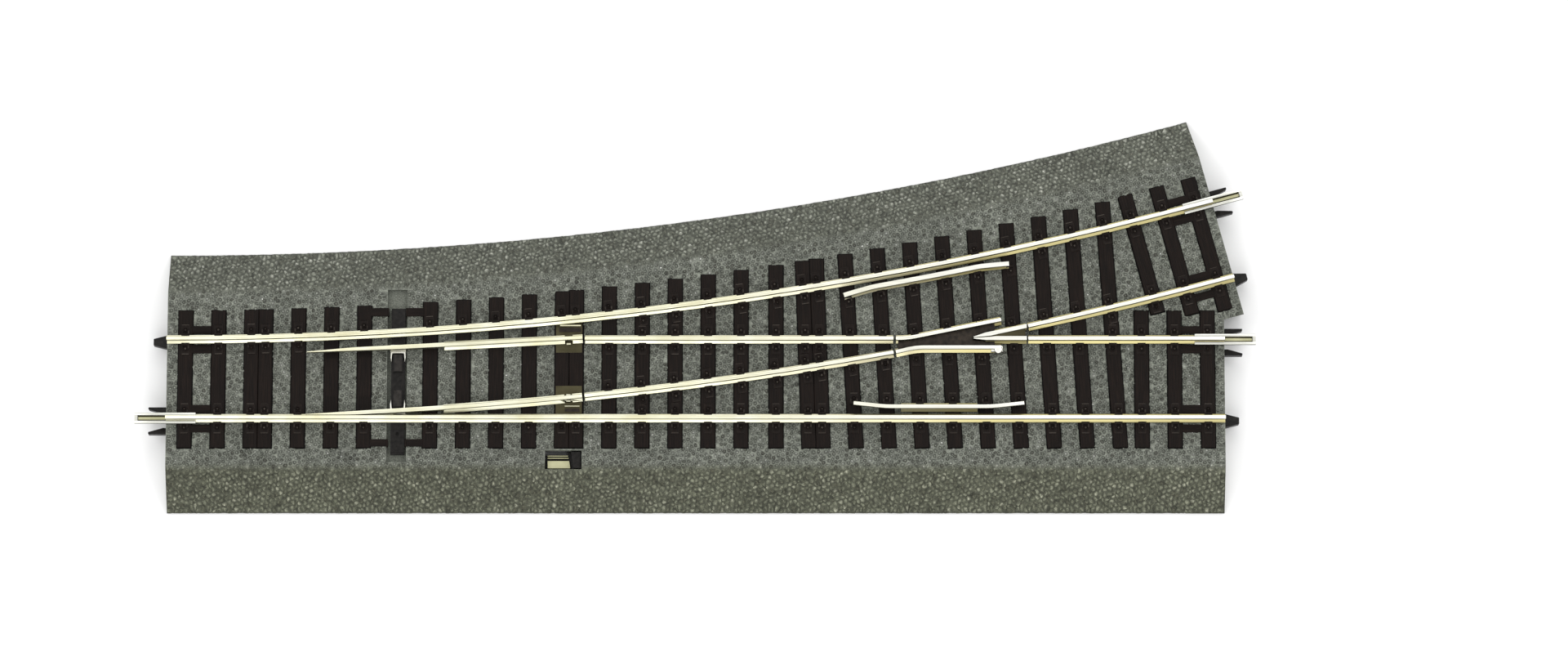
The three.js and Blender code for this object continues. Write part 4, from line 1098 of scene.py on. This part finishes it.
def build_tie_bar_pads():
    """The worn tops of the tie bar's two tongues."""
    pads = [box_part(TIE_BAR_X - 0.9, TIE_BAR_X + 0.9, y0 + 0.12, y1 - 0.12, 7.2, 7.36, 0.1)
            for y0, y1 in TONGUES]
    join_parts("tie_bar_pads", pads, "pad", ["tie_bar"], "tie_bar")


NOSE_TIP, NOSE_FULL, NOSE_PARTED = 175.4, 178.0, 179.2
NOSE_TIP_Y = (8.55, 8.76, 9.0)  # its front, middle and back at the tip
PARTING_Y = 8.98
NOSE_SPLIT = 0.24  # the dark line between its legs
SHADE_STEP = 2.4  # how far behind the full width the dark block painted as shade is cut back


def build_nose(back):
    """The V at the frog: two rail heads that meet in a point, over a dark block painted as the
    shade between them.
    """
    gauge, far_side = RAIL_OFFSET - RAIL_HEAD_HALF, RAIL_OFFSET + RAIL_HEAD_HALF
    front, middle, behind = NOSE_TIP_Y

    def on_branch(x, offset):
        return x, arc_y(x, -offset)

    x = np.linspace(NOSE_FULL, back, 8)
    straight = [(NOSE_TIP, front), (NOSE_FULL, gauge), (back, gauge), (back, far_side),
                (NOSE_PARTED + 1, far_side), (NOSE_PARTED, PARTING_Y),
                (NOSE_TIP, middle - NOSE_SPLIT / 4)]
    branch = [(NOSE_TIP, middle + NOSE_SPLIT / 4), (NOSE_PARTED, PARTING_Y + NOSE_SPLIT)]
    branch += [on_branch(at, far_side) for at in np.linspace(NOSE_PARTED, back, 6)[1:]]
    branch += [on_branch(at, gauge) for at in x[::-1]] + [(NOSE_TIP, behind)]
    parts = [extruded(head, RAIL_TOP - 0.75, RAIL_TOP, 0.03) for head in (straight, branch)]
    for line, left, right in (
            (np.array([[NOSE_FULL, RAIL_OFFSET], [back, RAIL_OFFSET]]), 0.4, -0.95),
            (np.stack([x, arc_y(x, -RAIL_OFFSET)], 1), 0.95, -0.6)):
        parts += [strip(line, left, right, SLEEPER_TOP, SLEEPER_TOP + 0.4, 0.1),
                  strip(line, 0.25, -0.25, SLEEPER_TOP + 0.3, RAIL_TOP - 0.7)]
    join_parts("frog_nose_drawn", parts, "rail", ["frog_nose"])
    # painted shade between and under the heads, drawn as a dark block
    cut, end = NOSE_FULL + SHADE_STEP, back - 0.3
    shade_block = [(NOSE_TIP + 0.3, 8.62), (NOSE_FULL, gauge + 0.12), (cut, gauge + 0.12), (cut, 8.9),
            (end, 8.9), on_branch(end, 8.95), (cut, on_branch(cut, gauge)[1] - 0.12),
            (NOSE_FULL, on_branch(NOSE_FULL, gauge)[1] - 0.12), (NOSE_TIP + 0.3, 8.93)]
    join_parts("frog_nose_painted_shade", [extruded(shade_block, SLEEPER_TOP + 0.1, RAIL_TOP - 0.3, 0.03)],
               "dark_metal_and_shade", ["frog_nose"])


TRAY_FLOOR, TRAY_TOP = 3.5, 3.9


def build_window_tray():
    """What shows in the window beside the thumb piece: a dark tray and a pale stepped leaf."""
    x0, _, y0, _ = WINDOW
    tray = [box_part(x0 + 0.1, 87.2, y0 + 0.25, -16.3, TRAY_FLOOR, TRAY_TOP)]
    join_parts("slider_tray", tray, "black", ["hand_slider"], "hand_slider")
    left = x0 + 0.55
    leaf = [extruded([(left, y0 + 0.4), (87.8, y0 + 0.4), (87.55, -17.6), (left, -17.6)],
                     TRAY_TOP, TRAY_TOP + 0.45, 0.06),
            box_part(left, 87.4, -17.2, -16.98, TRAY_TOP, TRAY_TOP + 0.75),
            box_part(left, 87.3, -16.72, -16.5, TRAY_TOP, TRAY_TOP + 0.75)]
    join_parts("slider_leaf", leaf, "leaf", ["hand_slider"], "hand_slider")


JOINER_OUT = 6.8  # how far it reaches past the rail's end
JOINER_TIP = 0.75  # the closed part at its end
TIP_HALF = 1.0


def build_joiner_end(node, end, angle):
    """Past the rail's end, a floor painted dark as shade, with a raised line, and a closed tip."""
    ahead, left = axes(angle)
    floor = SLEEPER_TOP - 0.1
    inner, outer = JOINER_OUT - JOINER_TIP, JOINER_OUT - 0.02

    def plan(corners):
        return [end + ahead * x + left * (RAIL_OFFSET + y) for x, y in corners]

    def bar(x1, half, z1, bevel):
        return extruded(plan(rectangle(0.05, x1, -half, half)), floor - 0.05, z1, bevel)

    tip = plan([(inner, -TIP_HALF), (JOINER_OUT - 0.3, -TIP_HALF), (outer, -0.7),
                (outer, 0.7), (JOINER_OUT - 0.3, TIP_HALF), (inner, TIP_HALF)])
    for ending, part, material in (
            # the floor is painted dark as the shade beside the raised line
            ("_floor", bar(inner, 0.68, floor + 0.04, 0.02), "dark_metal_and_shade"),
            ("_ridge", bar(inner - 0.05, 0.36, floor + 0.24, 0.08), "leaf"),
            ("_tip", extruded(tip, floor, SLEEPER_TOP + 0.6, 0.12), "joiner")):
        join_parts(node + ending, [part], material, [node])


# ---- Build ----

build_bed()
build_sleepers()
soften_node("frog_floor", "frog_filler", "frog", 0.08)

for node in ("straight_stock_rail", "curved_stock_rail", "straight_closure_rail",
             "curved_closure_rail", "left_wing_rail", "right_wing_rail", "straight_exit_rail",
             "branch_exit_rail", "right_check_rail", "left_point_blade", "right_point_blade"):
    soften_node(node, node + "_drawn", "rail", 0.09)
for node, width in (("tie_bar", 0.12), ("hand_slider", 0.3), ("toe_coupler", 0.12),
                    ("straight_end_coupler", 0.12), ("branch_end_coupler", 0.12)):
    soften_node(node, node + "_moulded", "black", width)
for node, *_ in ENDS:
    soften_node(node, node + "_folded", "joiner", 0.05)
build_clip("left_blade_clip", 1, 5.6)
build_clip("right_blade_clip", -1, -6.5)
build_heel_details()
build_left_check_rail()
build_wing_end()
build_window_tray()
build_tie_bar_pads()
build_nose((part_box("frog_nose")[1].x - ORIGIN[0]) / MM)
for joiner_end in ENDS:
    build_joiner_end(*joiner_end)
for node in ("left_heel_plate", "right_heel_plate"):
    soften_node(node, node + "_stamped", "dark_metal_and_shade", 0.05)
for node in ("left_jumper_strip", "right_jumper_strip"):
    soften_node(node, node + "_bent", "strip", 0.04)


# ---- Floor, light and camera: in metres, in the row's frame ----

FLOOR = (-3.0, 3.0, -3.0, 3.0)
LAMP_SIZE = 0.9
LAMPS = (("left", (-1.0, 0.1, 0.95), 5), ("right", (1.0, 0.2, 0.95), 5),
         ("front", (-0.1, -1.0, 0.95), 4), ("back", (0.1, 1.0, 0.95), 3))
SKY = 0.85
CAMERA_AIM = Vector((0.0192, -0.0036, cad_high.z))
CAMERA_TILT = math.radians(10.3)
CAMERA_DISTANCE = 1.449
CAMERA_LENS = 153.1


def build_floor():
    mesh = bpy.data.meshes.new("floor")
    mesh.from_pydata([(x, y, 0) for x, y in rectangle(*FLOOR)], [], [(0, 1, 2, 3)])
    floor = add_object("floor", mesh)
    s = Shader("floor")
    s.set("Base Color", (0.9, 0.9, 0.9, 1))
    s.set("Roughness", 0.9)
    mesh.materials.append(s.material)


def aim(thing, place, towards):
    """Put a lamp or the camera in its place, looking one way."""
    thing.location = place
    thing.rotation_mode = "QUATERNION"
    thing.rotation_quaternion = towards.to_track_quat("-Z", "Y")


def build_light():
    world = bpy.data.worlds.new("studio")
    bpy.context.scene.world = world
    world.use_nodes = True
    background = world.node_tree.nodes["Background"]
    background.inputs["Color"].default_value = (1.0, 1.0, 1.0, 1)
    background.inputs["Strength"].default_value = SKY
    for name, place, power in LAMPS:
        light = bpy.data.lights.new(name, "AREA")
        light.shape = "SQUARE"
        light.size = LAMP_SIZE
        light.energy = power
        aim(add_object(name, light), place, -Vector(place))
    bpy.context.scene.view_settings.view_transform = "Standard"


def build_camera():
    """Nearly straight down, tilted a little towards the front, from far away."""
    camera = add_object("camera", bpy.data.cameras.new("camera"))
    camera.data.lens = CAMERA_LENS
    camera.data.sensor_width = 36.0
    camera.data.clip_start = 0.05
    camera.data.clip_end = 20.0
    back = Vector((0, -math.sin(CAMERA_TILT), math.cos(CAMERA_TILT)))
    aim(camera, CAMERA_AIM + back * CAMERA_DISTANCE, -back)
    bpy.context.scene.camera = camera


build_floor()
build_light()
build_camera()
